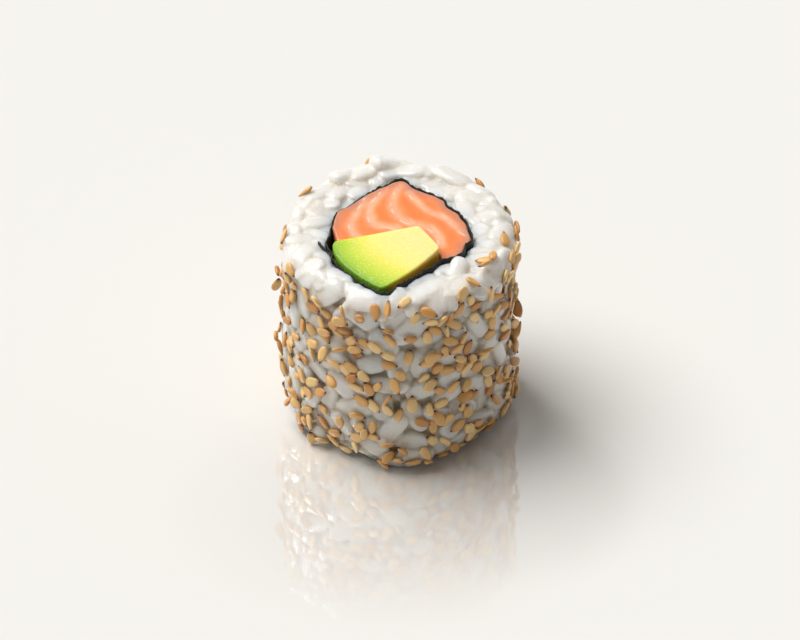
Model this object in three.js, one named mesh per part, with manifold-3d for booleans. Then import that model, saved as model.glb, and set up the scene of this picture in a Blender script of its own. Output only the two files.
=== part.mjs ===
// One piece of uramaki: an inside-out sushi roll that stands on its cut end.
// Four pieces: the rice with its sesame seeds, the nori sheet, the salmon and the avocado.
// Millimetres, +Z up, origin under the middle of the roll on the surface it stands on.
import * as THREE from 'three';
import { mergeVertices } from 'three/addons/utils/BufferGeometryUtils.js';
import Module from 'manifold-3d';

const wasm = await Module();
wasm.setup();

// ---- Driving dimensions -------------------------------------------------------------------

const rollRadius = 21.7;         // rice, over the outer faces of its grains
const rollHeight = 40.4;         // rice, at the top cut
const topRimRadius = 3.2;        // how far the top edge is rounded
const coreInset = 1.0;           // the core lies this far under the faces of the grains
const coreInsetTop = 0.5;        // and this far at the top cut
const clearance = 0.3;           // between neighbouring pieces
const noriThickness = 0.4;
const taper = 0.88;              // width of the fillings at the floor, against the top cut
const fillingLift = 0.15;        // the fillings end this far above the floor

const outlineSamples = 56;       // points round the nori's outline
const coreSides = 28;
const pushGain = 0.12;           // share of an overlap that one pass takes away
const turnLimit = 0.2;           // radians that a piece may turn in one pass
const below = -2;                // rooms are cut from here, under the floor
const above = 60;                // to here, over the top
const slotHeight = 8;            // the slot for the nori's tail goes on this far over the top

const degree = Math.PI / 180;
const rimArc = topRimRadius * Math.PI / 2;
const rimStart = rollHeight - topRimRadius;
const rimEnd = rimStart + rimArc;

// The lower edge is worn round: [azimuth in degrees, spread in degrees, depth, height].
const edgeWear = [
  [318, 30, 3.9, 4.5],
  [237, 15, 3.0, 3.0],
];
const edgeDepth = 2.1;           // all round
const edgeHeight = 5.5;

// The wall is not quite a circle: [azimuth in degrees, spread in degrees, change of radius].
const wallWaves = [
  [240, 22, -0.7],
  [5, 25, -0.3],
  [190, 14, 0.4],
  [95, 40, 0.1],
];

// The top rim stands higher in places: [azimuth in degrees, spread in degrees, rise].
const topRises = [
  [98, 42, 1.7],
  [205, 25, 0.3],
];
const riseFade = 7;              // the rise dies away this far in from the rim

// The nori seen from above, as points of a smooth closed loop: [x, y, height over the rice].
const noriLoop = [
  [13.2, -1.9, 1.0], [11.8, 3.1, 0.9], [9.8, 6.1, 0.9], [7.5, 8.7, 1.0],
  [4.2, 11.4, 1.2], [0.1, 13.9, 1.4], [-3.5, 12.3, 1.1], [-6.5, 10.0, 0.9],
  [-10.5, 5.8, 0.8], [-12.9, 1.9, 0.8], [-13.6, -2.4, 0.7], [-13.4, -6.3, 0.4],
  [-11.9, -10.0, 0.3], [-9.4, -13.1, 0.2], [-7.1, -15.8, 0.2], [-4.0, -18.4, 0.3],
  [-1.3, -17.8, 0.6], [0.7, -16.3, 0.9], [2.9, -14.3, 1.0], [5.7, -11.9, 1.1],
  [8.3, -9.6, 1.0], [10.9, -7.6, 1.0], [12.7, -5.1, 1.0],
];
// The sheet's free end leaves the loop and lies in the rice.
const noriTail = [[-12.7, -8.2, 0.3], [-13.5, -6.7, 0.6], [-14.3, -5.5, 0.9], [-15.1, -4.1, 1.0]];

// Avocado seen from above: four corners, and control points for the curve of its skin side
// and for the slight bulge of its cut side.
const avocadoCorners = { tip: [-3.4, -17.7], right: [7.5, -7.8], back: [3.6, -1.6], left: [-12.4, -4.3] };
const avocadoSkin = [[-12.6, -8.4], [-9.0, -13.4]];
const avocadoBulge = [2.9, -13.7];
const avocadoRounding = 0.9;
const avocadoTop = { middle: 2.7, slopeX: 0.088, slopeY: 0.1 };   // height over the rice
const salmonTop = { middle: 0.85, slopeX: -0.015, slopeY: 0.03 };
// The salmon lies behind this line, from the nori at the left to the nori at the right.
const salmonFront = [[7.3, -12], [7.3, -7.8], [-11.2, -3.3], [-17, 7.5]];

// Rice grains: how many places the rule gives, how many of them are solid here, and sizes.
const grainPlaces = 225;
const solidGrains = 170;
const grainLength = [6.6, 8.8];
const grainWidth = [3.6, 4.9];
const grainThickness = [2.5, 3.2];
const grainSides = 5;
const grainBands = 3;
const grainProud = [-0.35, 0.25];   // how far its face stands out of the roll's surface
const grainTurns = 24;              // passes that push grains apart
const grainTightness = 0.92;
const onTopSmaller = { length: 0.16, width: 0.18 };
const onTopLooser = { tilt: 0.45, proud: 0.35 };
// The largest grains at the front: [azimuth, reach, turn in degrees, length, width].
const largeGrains = [
  [250, 34, -12, 8.6, 5.6], [279, 33.5, 8, 9.4, 5.6], [256, 24.5, 20, 7.0, 4.6],
  [314, 29.5, 88, 8.6, 4.0], [268, 11, 40, 9.4, 4.6], [240, 14.5, -15, 8.4, 4.6],
  [221, 21, -45, 8.2, 4.2], [207, 29.5, -60, 8.0, 4.4],
];

// Sesame seeds, in the same way.
const seedPlaces = 430;
const solidSeeds = 84;
const seedSize = { length: 3.3, width: 1.95, thickness: 1.0 };
const seedSides = 4;
const seedBands = 3;
const seedPoint = 0.3;          // how much narrower the pointed end is
const seedTurns = 6;
const seedTightness = 0.8;
const seedSink = 0.38;          // share of a seed's thickness that is in the rice
const steepestSeed = 0.6;       // radians
// Seeds along the upper edge lie apart: [azimuth, reach, turn in degrees to the pointed end].
const upperSeeds = [
  [250, 36, -110], [258, 38, -80], [264, 39, 85], [264, 34.5, 140], [242, 31, -20],
  [236, 32, 35], [226, 31, 130], [228, 28, -35], [220, 25, 180], [217, 36, -40],
  [207, 35.5, 55], [204, 38, -25], [226, 36, -40], [221, 33.5, -5], [239, 27, 5],
  [247, 27, 35], [250, 30, 160], [257, 30, 150], [265, 32, 140], [242, 23, 135],
  [186, 30, 75], [192, 34, 20], [172, 38.5, 30], [182, 39.5, -30], [272, 40, -145],
  [284, 38, -25], [285, 36, -165], [289.5, 36, -120], [295, 36, 70], [301, 36.5, 55],
  [299, 33, -35], [284, 32, 95], [302, 30, 70], [310, 33, -60], [302, 39.5, -135],
  [307, 38, 105], [311, 40.5, -60], [328, 42.6, 115], [323, 41.6, 170], [335, 41.8, 20],
  [354, 41, 15], [5, 38.5, 45], [354, 38, -170], [344, 39, 25], [335, 37, -90],
  [328, 32, 155], [322, 29.5, -90], [322, 26.5, -15], [332, 26, 130], [306, 27, 60],
];

// ---- Seeded random numbers ----------------------------------------------------------------

function makeRandom(seed) {
  let state = seed >>> 0;
  return () => {
    state = (state + 0x6d2b79f5) >>> 0;
    let t = state;
    t = Math.imul(t ^ (t >>> 15), t | 1);
    t ^= t + Math.imul(t ^ (t >>> 7), t | 61);
    return ((t ^ (t >>> 14)) >>> 0) / 4294967296;
  };
}

const between = (range, draw) => range[0] + (range[1] - range[0]) * draw;

// ---- The roll's outer surface -------------------------------------------------------------
// A place on it is (azimuth, reach). Reach runs up the wall from the floor, over the rounded
// top edge, and then inwards across the top cut.

function turnDifference(a, b) {
  return ((a - b + 540) % 360 + 360) % 360 - 180;
}

const bell = (azimuth, centre, spread) => Math.exp(-((turnDifference(azimuth, centre) / spread) ** 2));

function wallRadius(azimuth, height) {
  let radius = rollRadius;
  for (const [centre, spread, change] of wallWaves) {
    radius += change * bell(azimuth, centre, spread);
  }
  let depth = edgeDepth;
  let rise = edgeHeight;
  for (const [centre, spread, deeper, higher] of edgeWear) {
    depth += deeper * bell(azimuth, centre, spread);
    rise += higher * bell(azimuth, centre, spread);
  }
  const low = Math.max(0, 1 - height / rise);
  return radius - depth * (1 - Math.sqrt(1 - low * low * 0.98));
}

function topRise(azimuth) {
  return topRises.reduce((sum, [centre, spread, rise]) => sum + rise * bell(azimuth, centre, spread), 0);
}

// Radius and height of a place, and its outward normal in the same plane.
function profile(azimuth, reach) {
  if (reach <= rimStart) {
    const radius = wallRadius(azimuth, reach);
    const slope = (wallRadius(azimuth, reach + 0.1) - radius) / 0.1;
    const size = Math.hypot(1, slope);
    return { radius, height: reach, outR: 1 / size, outZ: -slope / size };
  }
  const inner = wallRadius(azimuth, rimStart) - topRimRadius;
  if (reach <= rimEnd) {
    const angle = (reach - rimStart) / topRimRadius;
    return {
      radius: inner + topRimRadius * Math.cos(angle),
      height: rimStart + (topRimRadius + topRise(azimuth)) * Math.sin(angle),
      outR: Math.cos(angle),
      outZ: Math.sin(angle),
    };
  }
  const rise = topRise(azimuth) * Math.max(0, 1 - (reach - rimEnd) / riseFade);
  return { radius: inner - (reach - rimEnd), height: rollHeight + rise, outR: 0, outZ: 1 };
}

// ---- Outlines seen from above -------------------------------------------------------------

const loopCurve = new THREE.CatmullRomCurve3(
  noriLoop.map(([x, y, rise]) => new THREE.Vector3(x, y, rise)), true, 'catmullrom', 0.5);

// The nori's middle line moved outwards by a distance.
function loopOutline(offset, count) {
  const outline = [];
  for (let i = 0; i < count; i += 1) {
    const point = loopCurve.getPoint(i / count);
    const ahead = loopCurve.getPoint((i / count + 0.002) % 1);
    const behind = loopCurve.getPoint((i / count + 0.998) % 1);
    const along = new THREE.Vector2(ahead.x - behind.x, ahead.y - behind.y).normalize();
    outline.push([point.x + along.y * offset, point.y - along.x * offset, point.z]);
  }
  return outline;
}

// Radius of the nori loop in one direction, from a fine outline.
const loopByDegree = (() => {
  const radii = new Array(360).fill(0);
  for (const [x, y] of loopOutline(0, 2880)) {
    const index = ((Math.round(Math.atan2(y, x) / degree) % 360) + 360) % 360;
    radii[index] = Math.max(radii[index], Math.hypot(x, y));
  }
  return radii;
})();

function noriRadius(azimuth) {
  return loopByDegree[((Math.round(azimuth) % 360) + 360) % 360];
}

function avocadoOutline(offset) {
  const { tip, right, back, left } = avocadoCorners;
  const toward = (from, to) => {
    const step = new THREE.Vector2(to[0] - from[0], to[1] - from[1]).setLength(avocadoRounding);
    return [from[0] + step.x, from[1] + step.y];
  };
  const shape = new THREE.Shape();
  shape.moveTo(...toward(tip, avocadoBulge));
  shape.quadraticCurveTo(...avocadoBulge, ...toward(right, avocadoBulge));
  shape.quadraticCurveTo(...right, ...toward(right, back));
  shape.lineTo(...toward(back, right));
  shape.quadraticCurveTo(...back, ...toward(back, left));
  shape.lineTo(...toward(left, back));
  const [skinLeft, skinTip] = avocadoSkin;
  shape.quadraticCurveTo(...left, ...toward(left, skinLeft));
  shape.bezierCurveTo(...skinLeft, ...skinTip, ...toward(tip, skinTip));
  shape.quadraticCurveTo(...tip, ...toward(tip, avocadoBulge));
  const points = shape.getPoints(6).slice(0, -1);
  return points.map((point, i) => {
    const ahead = points[(i + 1) % points.length];
    const behind = points[(i + points.length - 1) % points.length];
    const along = new THREE.Vector2().subVectors(ahead, behind).normalize();
    return [point.x + along.y * offset, point.y - along.x * offset];
  });
}

// ---- Solids -------------------------------------------------------------------------------

function toSolid(geometry) {
  const bare = geometry.index ? geometry.clone() : geometry;
  bare.deleteAttribute('normal');
  bare.deleteAttribute('uv');
  const merged = mergeVertices(bare, 1e-5);
  return new wasm.Manifold(new wasm.Mesh({
    numProp: 3,
    vertProperties: new Float32Array(merged.attributes.position.array),
    triVerts: new Uint32Array(merged.index.array),
  }));
}

function toGeometry(solid) {
  const mesh = solid.getMesh();
  const geometry = new THREE.BufferGeometry();
  geometry.setAttribute('position', new THREE.BufferAttribute(new Float32Array(mesh.vertProperties), 3));
  geometry.setIndex(new THREE.BufferAttribute(new Uint32Array(mesh.triVerts), 1));
  geometry.computeVertexNormals();
  return geometry;
}

// A closed stack of rings, lowest first, each a list of [x, y, z] with the same count.
function stackedRings(rings) {
  const count = rings[0].length;
  const positions = rings.flat(2);
  const index = [];
  for (let level = 0; level + 1 < rings.length; level += 1) {
    for (let i = 0; i < count; i += 1) {
      const a = level * count + i;
      const b = level * count + (i + 1) % count;
      index.push(a, b, b + count, a, b + count, a + count);
    }
  }
  const flat = rings[0].map(([x, y]) => new THREE.Vector2(x, y));
  const last = (rings.length - 1) * count;
  for (const [a, b, c] of THREE.ShapeUtils.triangulateShape(flat, [])) {
    index.push(a, c, b);
    index.push(last + a, last + b, last + c);
  }
  const geometry = new THREE.BufferGeometry();
  geometry.setAttribute('position', new THREE.BufferAttribute(new Float32Array(positions), 3));
  geometry.setIndex(index);
  return geometry;
}

const narrowing = (height) => taper + (1 - taper) * Math.min(1, Math.max(0, height / rollHeight));

// A filling: an outline that narrows towards the floor, under a tilted plane.
function filling(outline, top, floor) {
  const topZ = (x, y) => rollHeight + top.middle + top.slopeX * x + top.slopeY * y;
  const ring = (height) => outline.map(([x, y]) => [x * narrowing(height), y * narrowing(height), height]);
  return stackedRings([ring(floor), ring(rollHeight), outline.map(([x, y]) => [x, y, topZ(x, y)])]);
}

// A strip of sheet along a path of [x, y, rise]: closed into a loop, or with two ends.
function sheetStrip(inner, outer, closed) {
  const count = inner.length;
  const positions = [];
  for (let i = 0; i < count; i += 1) {
    for (const [x, y, rise] of [inner[i], outer[i]]) {
      positions.push(x * taper, y * taper, fillingLift);
      positions.push(x, y, rollHeight + rise);
    }
  }
  const index = [];
  const quad = (a, b, c, d) => index.push(a, b, c, a, c, d);
  const steps = closed ? count : count - 1;
  for (let i = 0; i < steps; i += 1) {
    const a = 4 * i;
    const b = 4 * ((i + 1) % count);
    quad(a + 2, b + 2, b + 3, a + 3);
    quad(b, a, a + 1, b + 1);
    quad(a + 1, a + 3, b + 3, b + 1);
    quad(a, b, b + 2, a + 2);
  }
  if (!closed) {
    const end = 4 * (count - 1);
    quad(0, 2, 3, 1);
    quad(end, end + 1, end + 3, end + 2);
  }
  const geometry = new THREE.BufferGeometry();
  geometry.setAttribute('position', new THREE.BufferAttribute(new Float32Array(positions), 3));
  geometry.setIndex(index);
  return geometry;
}

function tailStrip(halfWidth, extension) {
  const outline = noriTail.map(([x, y, rise], i) => {
    const next = noriTail[Math.min(i + 1, noriTail.length - 1)];
    const last = noriTail[Math.max(i - 1, 0)];
    const along = new THREE.Vector2(next[0] - last[0], next[1] - last[1]).normalize();
    const further = i === noriTail.length - 1 ? extension : 0;
    return { x: x + along.x * further, y: y + along.y * further, rise, along };
  });
  const side = (offset) => outline.map(({ x, y, rise, along }) => [
    x + along.y * offset, y - along.x * offset, rise]);
  return { left: side(-halfWidth), right: side(halfWidth) };
}

// ---- Rice grains and seeds: where they lie --------------------------------------------------

// Puts pieces down one by one, each at the candidate that is farthest from those already down.
function scatter(count, candidates, random, draw, placed) {
  while (placed.length < count) {
    let best = null;
    let bestGap = -1;
    for (let k = 0; k < candidates; k += 1) {
      const option = draw(random);
      let gap = Infinity;
      for (const other of placed) {
        const across = turnDifference(option.azimuth, other.azimuth) * degree;
        const du = across * 0.5 * (option.radius + other.radius);
        gap = Math.min(gap, du * du + (option.reach - other.reach) ** 2);
      }
      if (gap > bestGap) {
        bestGap = gap;
        best = option;
      }
    }
    placed.push(best);
  }
  return placed;
}

// Pushes pieces apart along the surface, each taken as a row of three discs.
function spreadApart(pieces, passes, tightness, limits) {
  for (let pass = 0; pass < passes; pass += 1) {
    const moves = pieces.map(() => [0, 0, 0]);
    for (let i = 0; i < pieces.length; i += 1) {
      for (let j = i + 1; j < pieces.length; j += 1) {
        const a = pieces[i];
        const b = pieces[j];
        const du = turnDifference(a.azimuth, b.azimuth) * degree * 0.5 * (a.radius + b.radius);
        const ds = a.reach - b.reach;
        if (Math.hypot(du, ds) < 0.5 * (a.length + b.length)) {
          pushPair(a, b, du, ds, tightness, moves[i], moves[j]);
        }
      }
    }
    pieces.forEach((piece, i) => {
      const [u, s, turn] = moves[i];
      piece.azimuth = (piece.azimuth + u / piece.radius / degree + 360) % 360;
      piece.reach = limits(piece, piece.reach + s);
      piece.radius = profile(piece.azimuth, piece.reach).radius;
      piece.turn += Math.max(-turnLimit, Math.min(turnLimit, turn));
    });
  }
}

function pushPair(a, b, du, ds, tightness, moveA, moveB) {
  const need = 0.5 * (a.width + b.width) * tightness;
  const armA = 0.5 * (a.length - a.width);
  const armB = 0.5 * (b.length - b.width);
  for (const p of [-1, 0, 1]) {
    for (const q of [-1, 0, 1]) {
      const au = p * armA * Math.cos(a.turn);
      const as = p * armA * Math.sin(a.turn);
      const bu = q * armB * Math.cos(b.turn);
      const bs = q * armB * Math.sin(b.turn);
      const u = du + au - bu;
      const s = ds + as - bs;
      const distance = Math.hypot(u, s) + 1e-6;
      if (distance < need) {
        const push = pushGain * (need - distance) / distance;
        moveA[0] += u * push;
        moveA[1] += s * push;
        moveB[0] -= u * push;
        moveB[1] -= s * push;
        moveA[2] += (au * s - as * u) * push * pushGain;
        moveB[2] -= (bu * s - bs * u) * push * pushGain;
      }
    }
  }
}

// The farthest a piece may reach across the top before it would touch the nori.
function topLimit(azimuth, keepAway) {
  const inner = wallRadius(azimuth, rimStart) - topRimRadius;
  return rimEnd + inner - noriRadius(azimuth) - noriThickness / 2 - clearance - keepAway;
}

const placeAt = (azimuth, reach) => ({ azimuth, reach, radius: profile(azimuth, reach).radius });

function riceGrains() {
  const random = makeRandom(20417);
  const draw = () => {
    const azimuth = 360 * random();
    return placeAt(azimuth, 0.8 + (topLimit(azimuth, 1.2) - 0.8) * random());
  };
  const large = largeGrains.map(([azimuth, reach]) => placeAt(azimuth, reach));
  const grains = scatter(grainPlaces, 8, random, draw, large);
  grains.forEach((grain, i) => {
    const onTop = Math.min(1, Math.max(0, (grain.reach - rimStart) / rimArc));
    grain.length = between(grainLength, random()) * (1 - onTopSmaller.length * onTop);
    grain.width = between(grainWidth, random()) * (1 - onTopSmaller.width * onTop);
    grain.thickness = between(grainThickness, random());
    grain.turn = Math.PI * random();
    grain.tilt = (random() - 0.5) * (0.25 + onTopLooser.tilt * onTop);
    grain.proud = between([grainProud[0], grainProud[1] + onTopLooser.proud * onTop], random());
    if (i < largeGrains.length) {
      grain.turn = largeGrains[i][2] * degree;
      grain.length = largeGrains[i][3];
      grain.width = largeGrains[i][4];
      grain.proud = 0.1;
    }
  });
  const limits = (grain, reach) => {
    const across = 0.5 * grain.length * Math.abs(Math.sin(grain.turn)) + 0.25 * grain.width;
    return Math.max(0.6, Math.min(topLimit(grain.azimuth, across), reach));
  };
  spreadApart(grains, grainTurns, grainTightness, limits);
  return grains;
}

// Height of the grains' faces over the roll's nominal surface.
function relief(grains, azimuth, reach, radius) {
  let height = -coreInset;
  for (const grain of grains) {
    const ds = reach - grain.reach;
    if (Math.abs(ds) > 4.5) continue;
    const du = turnDifference(azimuth, grain.azimuth) * degree * 0.5 * (radius + grain.radius);
    if (Math.abs(du) > 4.5) continue;
    const along = (du * Math.cos(grain.turn) + ds * Math.sin(grain.turn)) / (0.5 * grain.length);
    const across = (-du * Math.sin(grain.turn) + ds * Math.cos(grain.turn)) / (0.5 * grain.width);
    const inside = 1 - along * along - across * across;
    if (inside <= 0) continue;
    height = Math.max(height, grain.proud + 0.5 * grain.thickness * (Math.sqrt(inside) - 1));
  }
  return height;
}

// Places where big bare grains of rice show: [azimuth, height, half width, half height].
const barePatches = [
  [250, 34, 10, 3.6], [277, 33.5, 10, 3.6], [257, 24.5, 7, 2.6], [273, 25.5, 4, 2],
  [314, 29, 4.5, 5], [238, 14.5, 8, 3.2], [268, 10.5, 10, 3.4], [282, 16.5, 5, 1.6],
  [325, 21.5, 6, 3], [210, 29.5, 8, 2.6], [222, 19.5, 8, 2.6], [254, 5.5, 5, 1.8],
  [120, 30, 12, 5], [60, 22, 10, 4], [150, 14, 12, 4], [90, 34, 16, 4], [30, 33, 8, 5],
];

function seedDensity(azimuth, reach) {
  if (reach > rimStart + 1.5) return 0.02;
  for (const [centre, height, halfWidth, halfHeight] of barePatches) {
    const u = turnDifference(azimuth, centre) / halfWidth;
    const s = (reach - height) / halfHeight;
    if (u * u + s * s < 1) return 0.04;
  }
  const low = 1 - Math.max(0, (reach - 24) / 22);
  return low * (0.82 + 0.18 * Math.cos((azimuth - 320) * degree));
}

function sesameSeeds() {
  const random = makeRandom(90210);
  const draw = () => {
    for (;;) {
      const azimuth = 360 * random();
      const reach = 1.2 + (rimEnd - 1.2) * random();
      if (random() < seedDensity(azimuth, reach)) {
        return placeAt(azimuth, reach);
      }
    }
  };
  const upper = upperSeeds.map(([azimuth, reach]) => placeAt(azimuth, reach));
  const seeds = scatter(seedPlaces, 3, random, draw, upper);
  seeds.forEach((seed, i) => {
    const size = 0.88 + 0.24 * random();
    seed.length = seedSize.length * size;
    seed.width = seedSize.width * size * (0.92 + 0.16 * random());
    seed.thickness = seedSize.thickness;
    seed.turn = 2 * Math.PI * random();
    if (i < upperSeeds.length) {
      seed.turn = upperSeeds[i][2] * degree;
    }
  });
  const limits = (seed, reach) => Math.max(1.2, Math.min(rimEnd + 1, reach));
  spreadApart(seeds, seedTurns, seedTightness, limits);
  return seeds;
}

// Lays seeds on the grains under them.
function settle(seeds, grains) {
  for (const seed of seeds) {
    const height = (along, across) => {
      const du = along * Math.cos(seed.turn) - across * Math.sin(seed.turn);
      const ds = along * Math.sin(seed.turn) + across * Math.cos(seed.turn);
      return relief(grains, seed.azimuth + du / seed.radius / degree, seed.reach + ds, seed.radius);
    };
    const ends = [height(1.1, 0), height(-1.1, 0), height(0, 0.7), height(0, -0.7)];
    const slant = (rise, run) => Math.max(-steepestSeed, Math.min(steepestSeed, Math.atan2(rise, run)));
    seed.tilt = slant(ends[0] - ends[1], 2.2);
    seed.roll = slant(ends[2] - ends[3], 1.4);
    const mean = (ends[0] + ends[1] + ends[2] + ends[3] + 2 * height(0, 0)) / 6;
    seed.proud = mean + (1 - seedSink) * seed.thickness;
  }
}

// The frame of a piece: its long axis, its width and its outward face, and its centre.
function pieceMatrix(piece, depth) {
  const { radius, height, outR, outZ } = profile(piece.azimuth, piece.reach);
  const cos = Math.cos(piece.azimuth * degree);
  const sin = Math.sin(piece.azimuth * degree);
  const out = new THREE.Vector3(cos * outR, sin * outR, outZ);
  const around = new THREE.Vector3(-sin, cos, 0);
  const up = new THREE.Vector3().crossVectors(out, around);
  const along = around.clone().multiplyScalar(Math.cos(piece.turn));
  along.addScaledVector(up, Math.sin(piece.turn));
  const across = new THREE.Vector3().crossVectors(out, along);
  along.applyAxisAngle(across, -piece.tilt);
  out.applyAxisAngle(across, -piece.tilt);
  if (piece.roll) {
    across.applyAxisAngle(along, piece.roll);
    out.applyAxisAngle(along, piece.roll);
  }
  const normal = new THREE.Vector3(cos * outR, sin * outR, outZ);
  const centre = new THREE.Vector3(cos * radius, sin * radius, height).addScaledVector(normal, depth);
  return new THREE.Matrix4().makeBasis(along, across, out).setPosition(centre);
}

// An oval along +X with few sides and a flat face up, as wide, long and thick as the real one.
function ovalGeometry(sides, bands, narrowing) {
  const geometry = new THREE.SphereGeometry(1, sides, bands, Math.PI / 2 + Math.PI / sides);
  const position = geometry.attributes.position;
  for (let i = 0; i < position.count; i += 1) {
    const width = 1 - narrowing * position.getY(i);
    position.setX(i, position.getX(i) * width);
    position.setZ(i, position.getZ(i) * width);
  }
  const face = Math.sin(Math.PI / bands) * Math.cos(Math.PI / sides);
  return geometry.rotateZ(-Math.PI / 2).scale(0.53, 0.5 / Math.sin(Math.PI / bands), 0.5 / face);
}

function pieceSolid(piece, geometry) {
  geometry.scale(piece.length, piece.width, piece.thickness);
  geometry.applyMatrix4(pieceMatrix(piece, piece.proud - 0.5 * piece.thickness));
  return toSolid(geometry);
}

// ---- Pieces -------------------------------------------------------------------------------

function riceCore() {
  const profileReaches = [0, 3, 8, 21, rimStart, rimStart + rimArc * 0.5, rimEnd];
  const points = [new THREE.Vector2(0, 0)];
  profileReaches.forEach((reach) => points.push(new THREE.Vector2(1, reach)));
  points.push(new THREE.Vector2(0, rimEnd));
  const geometry = new THREE.LatheGeometry(points, coreSides);
  const position = geometry.attributes.position;
  for (let i = 0; i < position.count; i += 1) {
    const x = position.getX(i);
    const y = -position.getZ(i);
    const reach = position.getY(i);
    const azimuth = Math.atan2(y, x) / degree;
    const place = profile(azimuth, reach);
    const atMiddle = Math.hypot(x, y) < 0.5;
    const inset = coreInset + (coreInsetTop - coreInset) * place.outZ * place.outZ;
    const radius = atMiddle ? 0 : place.radius - inset * place.outR;
    const height = atMiddle && reach > 0 ? rollHeight - coreInsetTop : place.height - inset * place.outZ;
    const sin = Math.sin(azimuth * degree);
    position.setXYZ(i, radius * Math.cos(azimuth * degree), radius * sin, reach > 0 ? height : 0);
  }
  return toSolid(geometry);
}

function box(sizeX, sizeY, sizeZ, x, y, z) {
  return toSolid(new THREE.BoxGeometry(sizeX, sizeY, sizeZ).translate(x, y, z));
}

// The outer skin of a solid: drops loose scraps and fills sealed hollows. Triangles that
// share an edge belong to one skin, and the skin with the largest volume is kept.
function outerSkin(solid) {
  const geometry = mergeVertices(toGeometry(solid).deleteAttribute('normal'), 1e-4);
  const corners = geometry.index.array;
  const triangleCount = corners.length / 3;
  const byEdge = new Map();
  const leader = Array.from({ length: triangleCount }, (_, i) => i);
  const find = (i) => {
    while (leader[i] !== i) {
      leader[i] = leader[leader[i]];
      i = leader[i];
    }
    return i;
  };
  for (let t = 0; t < triangleCount; t += 1) {
    for (let k = 0; k < 3; k += 1) {
      const a = corners[3 * t + k];
      const b = corners[3 * t + (k + 1) % 3];
      const key = Math.min(a, b) + '_' + Math.max(a, b);
      if (byEdge.has(key)) {
        leader[find(t)] = find(byEdge.get(key));
      } else {
        byEdge.set(key, t);
      }
    }
  }
  const volumes = new Map();
  const point = (i) => new THREE.Vector3().fromBufferAttribute(geometry.attributes.position, i);
  for (let t = 0; t < triangleCount; t += 1) {
    const [a, b, c] = [0, 1, 2].map((k) => point(corners[3 * t + k]));
    const skin = find(t);
    volumes.set(skin, (volumes.get(skin) ?? 0) + a.dot(b.cross(c)) / 6);
  }
  const [largest] = [...volumes.entries()].sort((a, b) => b[1] - a[1])[0];
  const kept = [];
  for (let t = 0; t < triangleCount; t += 1) {
    if (find(t) === largest) {
      kept.push(corners[3 * t], corners[3 * t + 1], corners[3 * t + 2]);
    }
  }
  geometry.setIndex(kept);
  return toSolid(geometry.toNonIndexed());
}

// Room for the nori and what it wraps, right through the rice.
function fillingRoom() {
  const outline = loopOutline(noriThickness / 2 + clearance, outlineSamples);
  const ring = (height) => outline.map(([x, y]) => [x * narrowing(height), y * narrowing(height), height]);
  const bore = toSolid(stackedRings([ring(below), ring(0), ring(rollHeight), ring(above)]));
  const { left, right } = tailStrip(noriThickness / 2 + clearance, clearance);
  const taller = (side) => side.map(([x, y]) => [x, y, slotHeight]);
  const slot = toSolid(sheetStrip(taller(left), taller(right), false));
  return bore.add(slot).add(slot.translate([0, 0, -1]));
}

function riceWithSesame() {
  const grains = riceGrains().slice(0, solidGrains);
  const seeds = sesameSeeds().slice(0, solidSeeds);
  settle(seeds, grains);
  let solid = riceCore();
  for (const grain of grains) {
    solid = solid.add(pieceSolid(grain, ovalGeometry(grainSides, grainBands, 0)));
  }
  for (const seed of seeds) {
    solid = solid.add(pieceSolid(seed, ovalGeometry(seedSides, seedBands, seedPoint)));
  }
  solid = solid.subtract(box(80, 80, 20, 0, 0, -10)).subtract(fillingRoom());
  return outerSkin(solid);
}

function noriSheet() {
  const inner = loopOutline(-noriThickness / 2, outlineSamples);
  const outer = loopOutline(noriThickness / 2, outlineSamples);
  const { left, right } = tailStrip(noriThickness / 2, 0);
  return toSolid(sheetStrip(inner, outer, true)).add(toSolid(sheetStrip(left, right, false)));
}

const insideNori = () => loopOutline(-noriThickness / 2 - clearance, outlineSamples);
const tall = { middle: 12, slopeX: 0, slopeY: 0 };

function avocadoStick() {
  const stick = toSolid(filling(avocadoOutline(0), avocadoTop, fillingLift));
  return outerSkin(stick.intersect(toSolid(filling(insideNori(), tall, 0))));
}

function salmonStrip() {
  const strip = toSolid(filling(insideNori(), salmonTop, fillingLift));
  const room = toSolid(filling(avocadoOutline(clearance), tall, below));
  const front = toSolid(filling([...salmonFront, [-20, -25], [20, -25]], tall, below));
  return outerSkin(strip.subtract(room).subtract(front));
}

function addPiece(group, name, solid, color, roughness) {
  const material = new THREE.MeshStandardMaterial({ color, roughness, metalness: 0 });
  const mesh = new THREE.Mesh(toGeometry(solid), material);
  mesh.name = name;
  group.add(mesh);
}

const roll = new THREE.Group();
addPiece(roll, 'rice', riceWithSesame(), 0xe9e4d8, 0.35);
addPiece(roll, 'nori', noriSheet(), 0x1d2318, 0.5);
addPiece(roll, 'salmon', salmonStrip(), 0xf28a55, 0.3);
addPiece(roll, 'avocado', avocadoStick(), 0xdfe06a, 0.4);

export default roll;
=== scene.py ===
"""One piece of uramaki, dressed: rice grains, toasted sesame, nori, salmon and avocado.

Sizes are in millimetres in the making of each shape, and become metres when its mesh is made.
A place on the roll's outer surface is (azimuth, reach). Reach runs up the wall from the floor,
over the rounded top edge and then inwards across the top cut.
"""
import math

import bpy
import numpy as np
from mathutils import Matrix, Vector
from mathutils.bvhtree import BVHTree


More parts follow.
